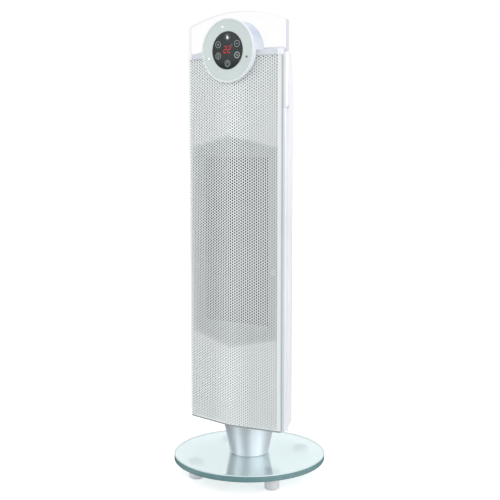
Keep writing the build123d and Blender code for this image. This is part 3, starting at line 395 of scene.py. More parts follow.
def near_sheet(nodes, links):
    _, y, z = place_parts(nodes, links)
    reach = scaled(nodes, links, z, SHADE_WIDE_AT, SHADE_SLIM_AT, SHADE_WIDE, SHADE_SLIM)
    behind = calculated(nodes, links, "SUBTRACT", y, reach)
    return scaled(nodes, links, behind, EDGE_Y, EDGE_Y + SHADE_FADE, 1, 0)


shaded(side_paint, (0.64, 0.69, 0.73, 1), near_sheet)

# The sheet's bright hem turns away from the light at its very edge
HEM_TURNS = SHEET_HALF - 1.6 * MM
HEM_TURNED = SHEET_HALF - 0.8 * MM


def hem_edge(nodes, links):
    return scaled(nodes, links, from_middle(nodes, links), HEM_TURNS, HEM_TURNED, 0, 1)


shaded(rim_paint, (0.66, 0.70, 0.73, 1), hem_edge)

# Finishes of the nodes whose own shape is shown
CAD_MATERIALS = {
    shell_white: ["rear_housing", "filter_panel", "head_bracket", "drum_back", "tower_floor"],
    fascia_grey: ["fascia", "housing_screws"],
    rubber_grey: ["foot_pads", "clamp_gasket", "neck_gasket"],
    steel: ["clamp_plate", "clamp_screws", "pivot_tube", "retaining_washer", "retaining_clip",
            "pinion_shaft", "osc_motor", "osc_motor_screws", "plate_screws", "fan_shaft", "fan_motor",
            "fan_motor_screws"],
    acetal: ["pivot_bush", "fixed_gear", "thrust_washer"],
    brass: ["drive_pinion", "heater_terminals", "top_bush"],
    foam_grey: ["filter_foam"],
    black_moulded: ["switch_body", "rocker", "cord_inlet", "thermal_cutout", "board_relays", "tilt_switch"],
    board_green: ["display_board", "power_board"],
    digits_red: ["digit_display"],
    lens_white: ["indicator_lenses"],
    sensor_dark: ["sensor_lens"],
    guard_grey: ["outlet_guard"],
    dark_moulded: ["heater_frame", "scroll_housing", "fan_wheel"],
    shaded_fin_metal: ["heater_bars", "heater_fins"],
}
for mat, names in CAD_MATERIALS.items():
    for name in names:
        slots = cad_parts[name].material_slots
        for i in range(len(slots)):
            slots[i].link = "OBJECT"
            slots[i].material = mat

# Mesh tools
ON_AXIS = 0.001 * MM
MERGED = 0.001 * MM
LONGEST_CUT = 0.45
SHARP_EDGE = radians(20)


def painted(mesh, mats, finish_of):
    """Gives each face the finish whose number finish_of(face) says."""
    for mat in mats:
        mesh.materials.append(mat)
    for face in mesh.polygons:
        face.material_index = finish_of(face)
    return mesh


def add(name, mesh, mats, body, replaced=(), sharp=35.0):
    """Puts a mesh that is already in place on a body, in place of CAD nodes."""
    for mat in mats:
        mesh.materials.append(mat)
    mesh.shade_smooth()
    mesh.set_sharp_from_angle(angle=radians(sharp))
    piece = bpy.data.objects.new(name, mesh)
    bpy.context.scene.collection.objects.link(piece)
    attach(piece, body)
    if replaced:
        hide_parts(*replaced)


def to_mesh(bm, name):
    bmesh.ops.recalc_face_normals(bm, faces=bm.faces)
    mesh = bpy.data.meshes.new(name)
    bm.to_mesh(mesh)
    bm.free()
    return mesh


def rounded(points, radius, steps, closed=True):
    """A line of points whose corners are rounded, each by radius or less where the sides are short."""
    count = len(points)
    result = []
    for i, point in enumerate(points):
        here = Vector(point)
        if not closed and i in (0, count - 1):
            result.append(here)
            continue
        before = Vector(points[i - 1])
        after = Vector(points[(i + 1) % count])
        cut = min(radius, (before - here).length * LONGEST_CUT, (after - here).length * LONGEST_CUT)
        start = here + (before - here).normalized() * cut
        end = here + (after - here).normalized() * cut
        for k in range(steps + 1):
            t = k / steps
            result.append((1 - t) ** 2 * start + 2 * t * (1 - t) * here + t * t * end)
    return result


def turned(profile, place, name, axis=Z, segments=192, closed=True, mat_of=None):
    """A solid turned about an axis from (radius, height) points."""
    bm = bmesh.new()
    rings = []
    for radius, height in profile:
        ring = []
        for k in range(segments if radius > ON_AXIS else 1):
            angle = 2 * pi * k / segments
            a, b = radius * cos(angle), radius * sin(angle)
            spot = (a, b, height) if axis == Z else (a, height, b)
            ring.append(bm.verts.new(Vector(place) + Vector(spot)))
        rings.append(ring)
    pairs = list(zip(rings, rings[1:] + rings[:1])) if closed else list(zip(rings, rings[1:]))
    for index, (low, high) in enumerate(pairs):
        for k in range(segments):
            n = (k + 1) % segments
            corners = [low[k % len(low)], low[n % len(low)], high[n % len(high)], high[k % len(high)]]
            corners = list(dict.fromkeys(corners))
            if len(corners) > 2:
                face = bm.faces.new(corners)
                face.material_index = mat_of(index) if mat_of else 0
    return to_mesh(bm, name)


def prism(outline, low, high, name, bevel):
    """An (x, y) outline pushed up from low to high, with its edges eased."""
    bm = bmesh.new()
    bottom = [bm.verts.new((x, y, low)) for x, y in outline]
    top = [bm.verts.new((x, y, high)) for x, y in outline]
    bm.faces.new(bottom)
    bm.faces.new(top)
    count = len(outline)
    for i in range(count):
        bm.faces.new([bottom[i], bottom[(i + 1) % count], top[(i + 1) % count], top[i]])
    bmesh.ops.recalc_face_normals(bm, faces=bm.faces)
    edges = [e for e in bm.edges if e.calc_face_angle(0) > SHARP_EDGE]
    bmesh.ops.bevel(bm, geom=edges, offset=bevel, segments=2, affect="EDGES", profile=0.5)
    return to_mesh(bm, name)


def plate(outlines, front, back, name, bevel=0.0):
    """A flat plate facing -Y with holes, cut from (x, z) outlines, with rounded edges."""
    curve = bpy.data.curves.new(name, "CURVE")
    curve.dimensions = "2D"
    curve.fill_mode = "BOTH"
    curve.extrude = (back - front) / 2 - bevel
    curve.bevel_depth = bevel
    curve.bevel_resolution = 3
    curve.offset = -bevel
    for outline in outlines:
        spline = curve.splines.new("POLY")
        spline.points.add(len(outline) - 1)
        for target, (x, z) in zip(spline.points, outline):
            target.co = (x, z, 0, 1)
        spline.use_cyclic_u = True
    holder = bpy.data.objects.new(name, curve)
    mesh = bpy.data.meshes.new_from_object(holder)
    bpy.data.objects.remove(holder)
    bpy.data.curves.remove(curve)
    middle = (front + back) / 2
    mesh.transform(Matrix(((1, 0, 0, 0), (0, 0, -1, middle), (0, 1, 0, 0), (0, 0, 0, 1))))
    bm = bmesh.new()
    bm.from_mesh(mesh)
    bpy.data.meshes.remove(mesh)
    bmesh.ops.remove_doubles(bm, verts=bm.verts, dist=MERGED)
    return to_mesh(bm, name)


def circle(radius, x, z, count):
    angles = [2 * pi * k / count for k in range(count)]
    return [(x + radius * cos(angle), z + radius * sin(angle)) for angle in angles]


# Perforated front sheet, in two halves that meet at the ridge. Its left half has holes nearly to the edge.
# Its right rim is bright and its lowest strip is in the shade
PITCH = 4.25 * MM
COLUMN = 3.65 * MM
CELL_SIDES = 6
CELL_REACH = COLUMN * 2 / 3
CELL_RISE = PITCH / sqrt(3)
HOLE = 1.42 * MM
HOLE_SIDES = 2 * CELL_SIDES
PLAIN_RIMS = {-1: 2.5 * MM, 1: 6.0 * MM}
PLAIN_FOOT = 3.5 * MM
SIDE_RIM = 4.6 * MM
LOW_RIM = 2.4 * MM
SHEET_CORNER = 2.5 * MM
FOLD_WIDTH = hypot(SHEET_HALF, EDGE_Y - RIDGE_Y)
SQUEEZE = SHEET_HALF / FOLD_WIDTH
AROUND_DRUM = DRUM_RADIUS + 0.4 * MM
HALVINGS = 24
SHORTEST_SHARE = 1e-4
CUT_CLOSE = 1e-7


def flat_cells(stagger, plain_rim):
    """The sheet's flat pattern: hexagonal cells with round holes, over more than the sheet."""
    bm = bmesh.new()
    corners = {}

    def corner(u, z):
        key = (round(u / COLUMN * 6), round((z - TOWER_LOW) / PITCH * 4))
        if key not in corners:
            corners[key] = bm.verts.new((u, 0, z))
        return corners[key]

    columns = int(FOLD_WIDTH / COLUMN) + 2
    rows = int((SHEET_TOP - TOWER_LOW) / PITCH) + 2
    cell_angles = [k * 2 * pi / CELL_SIDES for k in range(CELL_SIDES)]
    hole_angles = [k * 2 * pi / HOLE_SIDES for k in range(HOLE_SIDES)]
    for column in range(-1, columns):
        u = (column + 0.5) * COLUMN
        shift = PITCH / 2 if (column + stagger) % 2 else 0.0
        for row in range(-1, rows):
            z = TOWER_LOW + row * PITCH + shift
            rim = [corner(u + CELL_REACH * cos(a), z + CELL_RISE * sin(a)) for a in cell_angles]
            if u > FOLD_WIDTH - plain_rim or column < 0 or z < TOWER_LOW + PLAIN_FOOT:
                bm.faces.new(rim)
                continue
            hole = [bm.verts.new((u + HOLE * cos(a), 0, z + HOLE * sin(a))) for a in hole_angles]
            for k in range(CELL_SIDES):
                n = (k + 1) % CELL_SIDES
                bm.faces.new([rim[k], rim[n], hole[2 * n], hole[2 * k + 1], hole[2 * k]])
    return bm


def cut_flat(bm, place, outward, keep=False):
    geometry = bm.verts[:] + bm.edges[:] + bm.faces[:]
    bmesh.ops.bisect_plane(bm, geom=geometry, plane_co=place, plane_no=outward, clear_outer=not keep,
                           dist=CUT_CLOSE)


def cut_round(bm):
    """Takes away what lies under the dial, where the sheet's flat width is squeezed by the fold."""
    def beyond(co):
        return hypot(co.x * SQUEEZE, co.z - DIAL_Z) - AROUND_DRUM

    on_rim = set()
    for edge in list(bm.edges):
        first, second = edge.verts
        a, b = beyond(first.co), beyond(second.co)
        if a * b >= 0:
            continue
        low, high = 0.0, 1.0
        for _ in range(HALVINGS):
            middle = (low + high) / 2
            if beyond(first.co.lerp(second.co, middle)) * a > 0:
                low = middle
            else:
                high = middle
        share = min(max(low, SHORTEST_SHARE), 1 - SHORTEST_SHARE)
        on_rim.add(bmesh.utils.edge_split(edge, first, share)[1])
    for face in list(bm.faces):
        ends = [v for v in face.verts if v in on_rim]
        if len(ends) == 2 and not bm.edges.get(ends):
            bmesh.utils.face_split(face, ends[0], ends[1])
    inside = [f for f in bm.faces if beyond(f.calc_center_median()) < 0]
    bmesh.ops.delete(bm, geom=inside, context="FACES")


def sheet_half(side):
    bm = flat_cells(0 if side > 0 else 1, PLAIN_RIMS[side])
    cut_flat(bm, (0, 0, 0), (-1, 0, 0))
    cut_flat(bm, (FOLD_WIDTH, 0, 0), (1, 0, 0))
    cut_flat(bm, (0, 0, TOWER_LOW), (0, 0, -1))
    cut_flat(bm, (0, 0, SHEET_TOP), (0, 0, 1))
    cut_flat(bm, (FOLD_WIDTH - SHEET_CORNER, 0, TOWER_LOW), (1, 0, -1))
    cut_flat(bm, (FOLD_WIDTH - SIDE_RIM, 0, 0), (1, 0, 0), keep=True)
    cut_flat(bm, (0, 0, TOWER_LOW + LOW_RIM), (0, 0, -1), keep=True)
    cut_round(bm)
    bm.verts.index_update()
    front = [(side * v.co.x * SQUEEZE, fold_y(v.co.x * SQUEEZE), v.co.z) for v in bm.verts]
    count = len(front)
    faces = [[v.index for v in f.verts] for f in bm.faces]
    rims = []
    for edge in bm.edges:
        if len(edge.link_faces) == 1:
            loop = edge.link_loops[0]
            rims.append((loop.vert.index, loop.link_loop_next.vert.index))
    bm.free()
    back = [(x, y + SHEET_THICK, z) for x, y, z in front]
    faces += [[i + count for i in reversed(f)] for f in faces]
    faces += [[b, a, a + count, b + count] for a, b in rims]
    if side < 0:
        faces = [f[::-1] for f in faces]
    mesh = bpy.data.meshes.new("sheet")
    mesh.from_pydata(front + back, [], faces)
    return mesh


def sheet_finish(face):
    if face.center.z < TOWER_LOW + LOW_RIM:
        return 2
    return int(face.center.x > SHEET_HALF - SIDE_RIM)


for side, name in ((-1, "sheet_left"), (1, "sheet_right")):
    mesh = painted(sheet_half(side), [sheet_paint, rim_paint, rim_shade], sheet_finish)
    add(name, mesh, [], "tower", ["front_grille"], sharp=40)

# Bars over the sheet and their end caps
RAIL_STAND_OUT = 1.0 * MM
CAP_STAND_OUT = 1.5 * MM
BAR_EASED = 0.6 * MM


def bar_mesh(side, near_low, near_high, far, stand_out, name):
    """A bar along the fold, from its inner end, low and high, to far."""
    corners = []
    for near, z in ((near_low, SHEET_TOP), (near_high, RAIL_TOP)):
        corners += [(side * near, fold_y(near, -stand_out), z), (side * far, fold_y(far, -stand_out), z),
                    (side * far, PLATE_FRONT, z), (side * near, PLATE_FRONT, z)]
    bm = bmesh.new()
    verts = [bm.verts.new(c) for c in corners]
    for ids in ((0, 1, 2, 3), (4, 5, 6, 7), (0, 1, 5, 4), (1, 2, 6, 5), (2, 3, 7, 6), (3, 0, 4, 7)):
        bm.faces.new([verts[i] for i in ids])
    bmesh.ops.recalc_face_normals(bm, faces=bm.faces)
    bmesh.ops.bevel(bm, geom=bm.edges[:], offset=BAR_EASED, segments=3, affect="EDGES", profile=0.5)
    return to_mesh(bm, name)


def beside_drum(z):
    return sqrt(AROUND_DRUM ** 2 - (z - DIAL_Z) ** 2)


for side, tail in ((-1, "left"), (1, "right")):
    rail = bar_mesh(side, beside_drum(SHEET_TOP), beside_drum(RAIL_TOP), RAIL_HALF, RAIL_STAND_OUT, "rail")
    add("rail_" + tail, rail, [rail_paint], "tower", ["grille_rail"])
    cap = bar_mesh(side, RAIL_HALF, RAIL_HALF, SHEET_HALF, CAP_STAND_OUT, "cap")
    add("rail_cap_" + tail, cap, [cap_white], "tower", ["rail_end_caps"])

# Side frames: a painted wall with a bright flange and a groove at its back, and a tongue by the head plate
FRAME_WALL = 2.5 * MM
GROOVE = 0.4 * MM
FRAME_EASED = 0.12 * MM
TONGUE = 1.5 * MM
TONGUE_GAP = 0.05 * MM
TONGUE_EASED = 0.1 * MM
FLANGE_FRONT = PLATE_BACK
AT_FLANGE = FLANGE_FRONT - 0.01 * MM
AT_SIDE = SHEET_HALF - 0.05 * MM


def frame_finish(face):
    return int(face.center.y > AT_FLANGE and abs(face.center.x) > AT_SIDE)


for side, node in ((-1, "side_frame_left"), (1, "side_frame_right")):
    low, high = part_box(node)
    wall = SHEET_HALF - FRAME_WALL
    flange = max(abs(low.x), abs(high.x))
    outline = [(wall, low.y), (SHEET_HALF, low.y), (SHEET_HALF, FLANGE_FRONT), (flange, FLANGE_FRONT),
               (flange, high.y - GROOVE), (flange - GROOVE, high.y - GROOVE), (flange - GROOVE, high.y),
               (wall, high.y)]
    outline = [(side * x, y) for x, y in outline]
    mesh = painted(prism(outline, low.z, high.z, node, FRAME_EASED), [side_paint, flange_white], frame_finish)
    add(node + "_wall", mesh, [], "tower", [node])
    inner, back = SHEET_HALF - TONGUE, PLATE_FRONT - TONGUE_GAP
    outline = [(inner, low.y), (SHEET_HALF, low.y), (SHEET_HALF, back), (inner, back)]
    outline = [(side * x, y) for x, y in outline]
    add(node + "_tongue", prism(outline, high.z, SHEET_TOP, node, TONGUE_EASED), [side_paint], "tower")

# Head plate of clear sheet with an arched top. Its foot is painted white
PLATE_ARCH_RISE = 18.0 * MM
PLATE_SHOULDER = PLATE_CROWN - PLATE_ARCH_RISE
PLATE_CORNER = 5.0 * MM
PLATE_EASED = 0.5 * MM
PLATE_BACK_GAP = 0.1 * MM
PLATE_IN_DRUM = 0.6 * MM
FLAT_FACE = 0.9
RIM_BAND = 0.6 * MM
MASK_TOP = (SHEET_TOP + RAIL_TOP) / 2
MASK_GAP = 0.02 * MM
PLATE_SCREW_X = 66.0 * MM
PLATE_SCREW_DROPS = (59.0 * MM, 15.0 * MM)
PLATE_SCREW_BORE = 2.0 * MM


def arch(half, shoulder, crown, count=72):
    rise = crown - shoulder
    radius = (half * half + rise * rise) / (2 * rise)
    reach = atan2(half, radius - rise)
    angles = [reach * (1 - 2 * k / count) for k in range(count + 1)]
    return [(radius * sin(angle), crown - radius + radius * cos(angle)) for angle in angles]


def whole_plate():
    sides = rounded([(-PLATE_HALF, PLATE_SHOULDER), (-PLATE_HALF, PLATE_LOW), (PLATE_HALF, PLATE_LOW),
                     (PLATE_HALF, PLATE_SHOULDER)], PLATE_CORNER, 8, closed=False)
    outlines = [sides[:-1] + arch(PLATE_HALF, PLATE_SHOULDER, PLATE_CROWN)[:-1]]
    outlines.append(circle(DRUM_RADIUS - PLATE_IN_DRUM, 0, DIAL_Z, 128))
    for drop in PLATE_SCREW_DROPS:
        for side in (-1, 1):
            outlines.append(circle(PLATE_SCREW_BORE, side * PLATE_SCREW_X, SHEET_TOP - drop, 32))
    return plate(outlines, PLATE_FRONT, PLATE_BACK - PLATE_BACK_GAP, "head_plate", PLATE_EASED)


def part_of_plate(whole, name, level, outward):
    """What the plate leaves on one side of a level, closed again where it is cut."""
    bm = bmesh.new()
    bm.from_mesh(whole)
    geometry = bm.verts[:] + bm.edges[:] + bm.faces[:]
    cut = bmesh.ops.bisect_plane(bm, geom=geometry, plane_co=(0, 0, level), plane_no=(0, 0, outward),
                                 clear_outer=True)
    edges = [e for e in cut["geom_cut"] if isinstance(e, bmesh.types.BMEdge)]
    bmesh.ops.holes_fill(bm, edges=edges, sides=0)
    return to_mesh(bm, name)


def plate_finish(face):
    """The plate's faces are clear, its right edge is darker, and its left edge and arch are faint."""
    x, z = face.center.x, face.center.z
    if abs(face.normal.y) >= FLAT_FACE or hypot(x, z - DIAL_Z) <= DRUM_RADIUS:
        return 0
    if x > PLATE_HALF - RIM_BAND:
        return 1
    if x < -PLATE_HALF + RIM_BAND or z > PLATE_SHOULDER - RIM_BAND:
        return 2
    return 0


whole = whole_plate()
mesh = painted(part_of_plate(whole, "head_plate_clear", MASK_TOP, -1), [clear_plate, plate_rim, plate_arch],
               plate_finish)
add("head_plate_clear", mesh, [], "tower", ["head_plate"], sharp=50)
mesh = part_of_plate(whole, "head_plate_foot", MASK_TOP - MASK_GAP, 1)
add("head_plate_foot", mesh, [plate_foot], "tower", ["head_plate"], sharp=50)
bpy.data.meshes.remove(whole)

# Dial: its drum
DIAL_PLACE = (0, 0, DIAL_Z)
DRUM_WALL = 2.5 * MM
DRUM_EASED = 0.2 * MM
DRUM_BORE = DRUM_RADIUS - DRUM_WALL
profile = rounded([(DRUM_BORE, DRUM_FRONT), (DRUM_RADIUS, DRUM_FRONT), (DRUM_RADIUS, DRUM_BACK),
                   (DRUM_BORE, DRUM_BACK)], DRUM_EASED, 2)
add("dial_drum_tube", turned(profile, DIAL_PLACE, "drum", axis=Y), [drum_paint], "tower",
    ["dial_drum"])

# Dial: its ring, from the panel's seat over the bezel, the flat face and the raised lip to the spigot
LIP_WIDTH = 3.0 * MM
LIP_RISE = 1.4 * MM
LIP_SHAPE = ((0.0, 0.0), (0.06, 0.12), (0.16, 0.5), (0.3, 0.82), (0.45, 0.97), (0.6, 1.0), (0.74, 0.88),
             (0.86, 0.62), (0.95, 0.28), (1.0, -0.1))
LIP_START = RING_RADIUS - LIP_WIDTH
RING_FACE = RING_FRONT + LIP_RISE
RING_BACK = DRUM_FRONT
RING_EASED = 0.3 * MM
LEDGE = 2.0 * MM
SEAT = DISPLAY_RADIUS + 0.2 * MM
BEZEL_FRONT = RING_FACE - 0.6 * MM
SPIGOT = DRUM_BORE - 0.1 * MM
SPIGOT_WALL = 2.0 * MM
SPIGOT_END = RING_BACK + 2.2 * MM
inner_side = [
    (DISPLAY_RADIUS - LEDGE, RING_BACK),
    (DISPLAY_RADIUS - LEDGE, DISPLAY_BACK),
    (SEAT, DISPLAY_BACK),
    (SEAT, BEZEL_FRONT + 0.1 * MM),
    (SEAT + 0.15 * MM, BEZEL_FRONT),
    (SEAT + 0.5 * MM, BEZEL_FRONT),
    (SEAT + 0.8 * MM, RING_FACE - 0.25 * MM),
    (SEAT + 1.0 * MM, RING_FACE),
]
lip = [(LIP_START + LIP_WIDTH * across, RING_FACE - LIP_RISE * out) for across, out in LIP_SHAPE]
outer_side = [
    (RING_RADIUS, RING_BACK - RING_EASED),
    (RING_RADIUS - RING_EASED, RING_BACK),
    (SPIGOT, RING_BACK),
    (SPIGOT, SPIGOT_END),
    (SPIGOT - SPIGOT_WALL, SPIGOT_END),
    (SPIGOT - SPIGOT_WALL, RING_BACK),
]
white = range(len(inner_side) + 1, len(inner_side) + 1 + len(lip))
add("dial_ring_face", turned(inner_side + lip + outer_side, DIAL_PLACE, "ring", axis=Y, segments=256,
                             mat_of=lambda index: int(index in white)),
    [ring_paint, lip_white], "tower", ["dial_ring"], sharp=28)

# Dial: its black panel
PANEL_EASED = 0.25 * MM
profile = rounded([(0, DISPLAY_FRONT), (DISPLAY_RADIUS, DISPLAY_FRONT), (DISPLAY_RADIUS, DISPLAY_BACK),
                   (0, DISPLAY_BACK)], PANEL_EASED, 3, closed=False)
add("display_panel", turned(profile, DIAL_PLACE, "panel", axis=Y, closed=False), [panel_black], "tower",
    ["display_glass"])

# Dial: its digits and key symbols, in millimetres from the dial's centre
PRINT_FRONT = DISPLAY_FRONT - 0.12 * MM
PRINT_BACK = DISPLAY_FRONT + 0.02 * MM
DIGIT_PLACES = (-4.2, 3.1)
DIGIT_HALF = 2.6
DIGIT_LOW, DIGIT_MIDDLE, DIGIT_HIGH = -3.4, 1.3, 6.0
DIGIT_SLANT = 0.11
SEGMENT_HALF = 0.72
SEGMENT_GAP = 0.35
LINE_HALF = 0.45
RING_OUTER, RING_INNER = 5.0, 4.2
FLAME_AT, PLUS_AT, MINUS_AT = (0.0, 19.8), (-17.2, 9.3), (17.3, 9.0)
SWING_AT, BULB_AT, TIMER_AT = (17.2, -7.5), (-17.2, -7.4), (0.0, -19.1)
DEGREE_AT = (7.7, 7.6)
FLAME = [(-1.6, -2.6), (-0.4, -3.2), (1.0, -3.0), (1.9, -2.0), (2.0, -0.8),
         (1.5, 0.2), (0.9, 0.9), (0.6, 0.4), (0.3, 1.4), (-0.5, 2.6),
         (-1.0, 3.3), (-1.1, 2.0), (-1.7, 0.8), (-2.1, -0.4), (-2.1, -1.7)]


def printed(shapes, name, mat):
    """Flat shapes on the panel. Each one is a list of outlines: its rim and its holes."""
    bm = bmesh.new()
    for outlines in shapes:
        placed = [[(x * MM, DIAL_Z + z * MM) for x, z in line] for line in outlines]
        mesh = plate(placed, PRINT_FRONT, PRINT_BACK, name)
        bm.from_mesh(mesh)
        bpy.data.meshes.remove(mesh)
    add(name, to_mesh(bm, name), [mat], "tower")


def ring_line(place, outer, inner, count=48, up=0.0):
    x, z = place
    return [circle(outer, x, z + up, count), circle(inner, x, z + up, count)]


def bar_line(place, half_width, half_height, angle=0.0, right=0.0, up=0.0):
    """A bar that is turned about its middle, which lies right and up of a place."""
    x, z = place
    c, s = cos(radians(angle)), sin(radians(angle))
    corners = [(-half_width, -half_height), (half_width, -half_height), (half_width, half_height),
               (-half_width, half_height)]
    return [[(x + right + c * a - s * b, z + up + s * a + c * b) for a, b in corners]]


def digit_two(x):
    """The five lit segments of a 2, standing at x, each a bar with pointed ends."""
    def segment(first, second):
        (ax, az), (bx, bz) = first, second
        length = hypot(bx - ax, bz - az)
        dx, dz = (bx - ax) / length, (bz - az) / length

        def spot(end, along, aside):
            return end[0] + dx * along - dz * aside, end[1] + dz * along + dx * aside

        shoulder = SEGMENT_GAP + SEGMENT_HALF
        points = [spot(first, SEGMENT_GAP, 0), spot(first, shoulder, SEGMENT_HALF),
                  spot(second, -shoulder, SEGMENT_HALF), spot(second, -SEGMENT_GAP, 0),
                  spot(second, -shoulder, -SEGMENT_HALF), spot(first, shoulder, -SEGMENT_HALF)]
        return [[(x + px + (pz - DIGIT_MIDDLE) * DIGIT_SLANT, pz) for px, pz in points]]

    left, right = -DIGIT_HALF, DIGIT_HALF
    return [segment((left, DIGIT_HIGH), (right, DIGIT_HIGH)),
            segment((right, DIGIT_HIGH), (right, DIGIT_MIDDLE)),
            segment((left, DIGIT_MIDDLE), (right, DIGIT_MIDDLE)),
            segment((left, DIGIT_MIDDLE), (left, DIGIT_LOW)),
            segment((left, DIGIT_LOW), (right, DIGIT_LOW))]


def key_symbols():
    shapes = [ring_line(FLAME_AT, 4.6, 4.25)]
    shapes += [ring_line(place, RING_OUTER, RING_INNER) for place in (PLUS_AT, MINUS_AT, BULB_AT, TIMER_AT)]
    shapes.append(ring_line(SWING_AT, RING_OUTER, 3.5))
    shapes.append(bar_line(PLUS_AT, 1.9, LINE_HALF))
    shapes.append(bar_line(PLUS_AT, LINE_HALF, 0.7, up=1.2))
    shapes.append(bar_line(PLUS_AT, LINE_HALF, 0.7, up=-1.2))
    shapes.append(bar_line(MINUS_AT, 1.9, LINE_HALF))
    shapes.append(bar_line(SWING_AT, 2.4, 0.6, angle=-38.0))
    shapes.append(ring_line(BULB_AT, 2.1, 1.4, up=0.7))
    shapes.append(bar_line(BULB_AT, 0.9, 0.4, up=-2.1))
    shapes.append(bar_line(BULB_AT, 0.6, 0.3, up=-3.0))
    shapes.append(ring_line(TIMER_AT, 3.0, 2.5))
    shapes.append(bar_line(TIMER_AT, 1.0, 0.3, angle=35.0, right=0.75, up=0.55))
    shapes.append(bar_line(TIMER_AT, 0.3, 0.7, up=1.3))
    shapes.append(ring_line(DEGREE_AT, 1.0, 0.6, count=24))
    return shapes


digits = [segment for x in DIGIT_PLACES for segment in digit_two(x)]
printed(digits, "dial_digits", digits_red)
printed(key_symbols(), "dial_symbols", print_white)
flame = [[(FLAME_AT[0] + x, FLAME_AT[1] + z) for x, z in FLAME]]
printed([flame], "dial_flame", flame_white)

# Glass base, with a bevel at the top and bottom of its edge. Its top bevel carries a painted highlight
BEVEL = 1.2 * MM
BEVEL_TURN = 0.1 * MM
BEVEL_END = 0.2 * MM
SHINY_TOP, EDGE, TOP_BEVEL, UNDERSIDE = range(4)
profile = [
    (0, GLASS_LOW),
    (GLASS_RADIUS - BEVEL, GLASS_LOW),
    (GLASS_RADIUS - BEVEL_TURN, GLASS_LOW + BEVEL - BEVEL_TURN),
    (GLASS_RADIUS, GLASS_LOW + BEVEL + BEVEL_END),
    (GLASS_RADIUS, GLASS_TOP - BEVEL - BEVEL_END),
    (GLASS_RADIUS - BEVEL_TURN, GLASS_TOP - BEVEL + BEVEL_TURN),
    (GLASS_RADIUS - BEVEL, GLASS_TOP),
    (0, GLASS_TOP),
]
disc_finish = [UNDERSIDE, EDGE, EDGE, EDGE, EDGE, TOP_BEVEL, SHINY_TOP]
add("glass_disc", turned(profile, (0, 0, 0), "glass", segments=384, closed=False,
                         mat_of=disc_finish.__getitem__),
    [base_glass, glass_edge, glass_bevel_highlight, glass_under], "base", ["glass_base"], sharp=20)

# Feet under the glass, hollow at the sole
FOOT_LOW = span("base_feet", Z)[0]
FOOT_GAP = 0.05 * MM
FOOT_TOP = GLASS_LOW - FOOT_GAP
FOOT_RADIUS = 11.3 * MM
FOOT_WALL = 2.3 * MM
FOOT_HOLLOW_TOP = 4.0 * MM
FOOT_EASED = 0.7 * MM
FOOT_CIRCLE = 90.0 * MM
FOOT_COUNT = 4
FIRST_FOOT = -33.0
hollow = FOOT_RADIUS - FOOT_WALL
profile = rounded([(0, FOOT_HOLLOW_TOP), (hollow, FOOT_HOLLOW_TOP), (hollow, FOOT_LOW),
                   (FOOT_RADIUS, FOOT_LOW), (FOOT_RADIUS, FOOT_TOP), (0, FOOT_TOP)], FOOT_EASED, 3,
                  closed=False)
foot_top_face = len(profile) - 2
for k in range(FOOT_COUNT):
    angle = radians(FIRST_FOOT + 360.0 / FOOT_COUNT * k)
    place = (FOOT_CIRCLE * cos(angle), FOOT_CIRCLE * sin(angle), 0)
    add(f"foot_{k + 1}", turned(profile, place, "foot", segments=96, closed=False,
                                mat_of=lambda index: int(index == foot_top_face)),
        [foot_silver, bond_white], "base", ["base_feet"])

# Neck: a hollow cone with a floor, a shelf for the swivel's bush and a skirt over its gasket
NECK_FOOT = 31.0 * MM
NECK_HEAD = span("neck", X)[1]
NECK_WALL = 2.6 * MM
NECK_FLOOR = NECK_LOW + 5.0 * MM
NECK_EASED = 0.3 * MM
SHELF_TOP = NECK_TOP - 18.0 * MM
SHELF_LOW = SHELF_TOP - 3.0 * MM
BUSH_BORE = 11.05 * MM
CABLE_BORE = 8.0 * MM
SKIRT_LOW = GLASS_TOP + 0.15 * MM
SKIRT_BORE = span("neck_gasket", X)[1] + 0.4 * MM


def neck_radius(z):
    return NECK_FOOT + (NECK_HEAD - NECK_FOOT) * (z - NECK_LOW) / (NECK_TOP - NECK_LOW)


def neck_bore(z):
    return neck_radius(z) - NECK_WALL


profile = [
    (CABLE_BORE, NECK_LOW),
    (SKIRT_BORE, NECK_LOW),
    (SKIRT_BORE, SKIRT_LOW),
    (neck_radius(SKIRT_LOW) - NECK_EASED, SKIRT_LOW),
    (neck_radius(SKIRT_LOW + NECK_EASED), SKIRT_LOW + NECK_EASED),
    (neck_radius(NECK_TOP - NECK_EASED), NECK_TOP - NECK_EASED),
    (NECK_HEAD - NECK_EASED, NECK_TOP),
    (neck_bore(NECK_TOP), NECK_TOP),
    (neck_bore(SHELF_TOP), SHELF_TOP),
    (BUSH_BORE, SHELF_TOP),
    (BUSH_BORE, SHELF_LOW),
    (neck_bore(SHELF_LOW), SHELF_LOW),
    (neck_bore(NECK_FLOOR), NECK_FLOOR),
    (CABLE_BORE, NECK_FLOOR),
]
add("neck_column", turned(profile, (0, 0, 0), "neck"), [neck_silver], "base", ["neck"],
    sharp=30)

# Camera
turn, pitch = radians(CAMERA_TURN), radians(CAMERA_PITCH)
ahead = Vector((-sin(turn) * cos(pitch), cos(turn) * cos(pitch), -sin(pitch)))
right = Vector((cos(turn), sin(turn), 0))
up = right.cross(ahead)
lens = bpy.data.cameras.new("camera")
lens.sensor_width = CAMERA_SENSOR
lens.lens = CAMERA_LENS
camera = bpy.data.objects.new("camera", lens)
camera.matrix_world = Matrix.Translation(CAMERA_PLACE) @ Matrix((right, up, -ahead)).transposed().to_4x4()
bpy.context.scene.collection.objects.link(camera)
bpy.context.scene.camera = camera

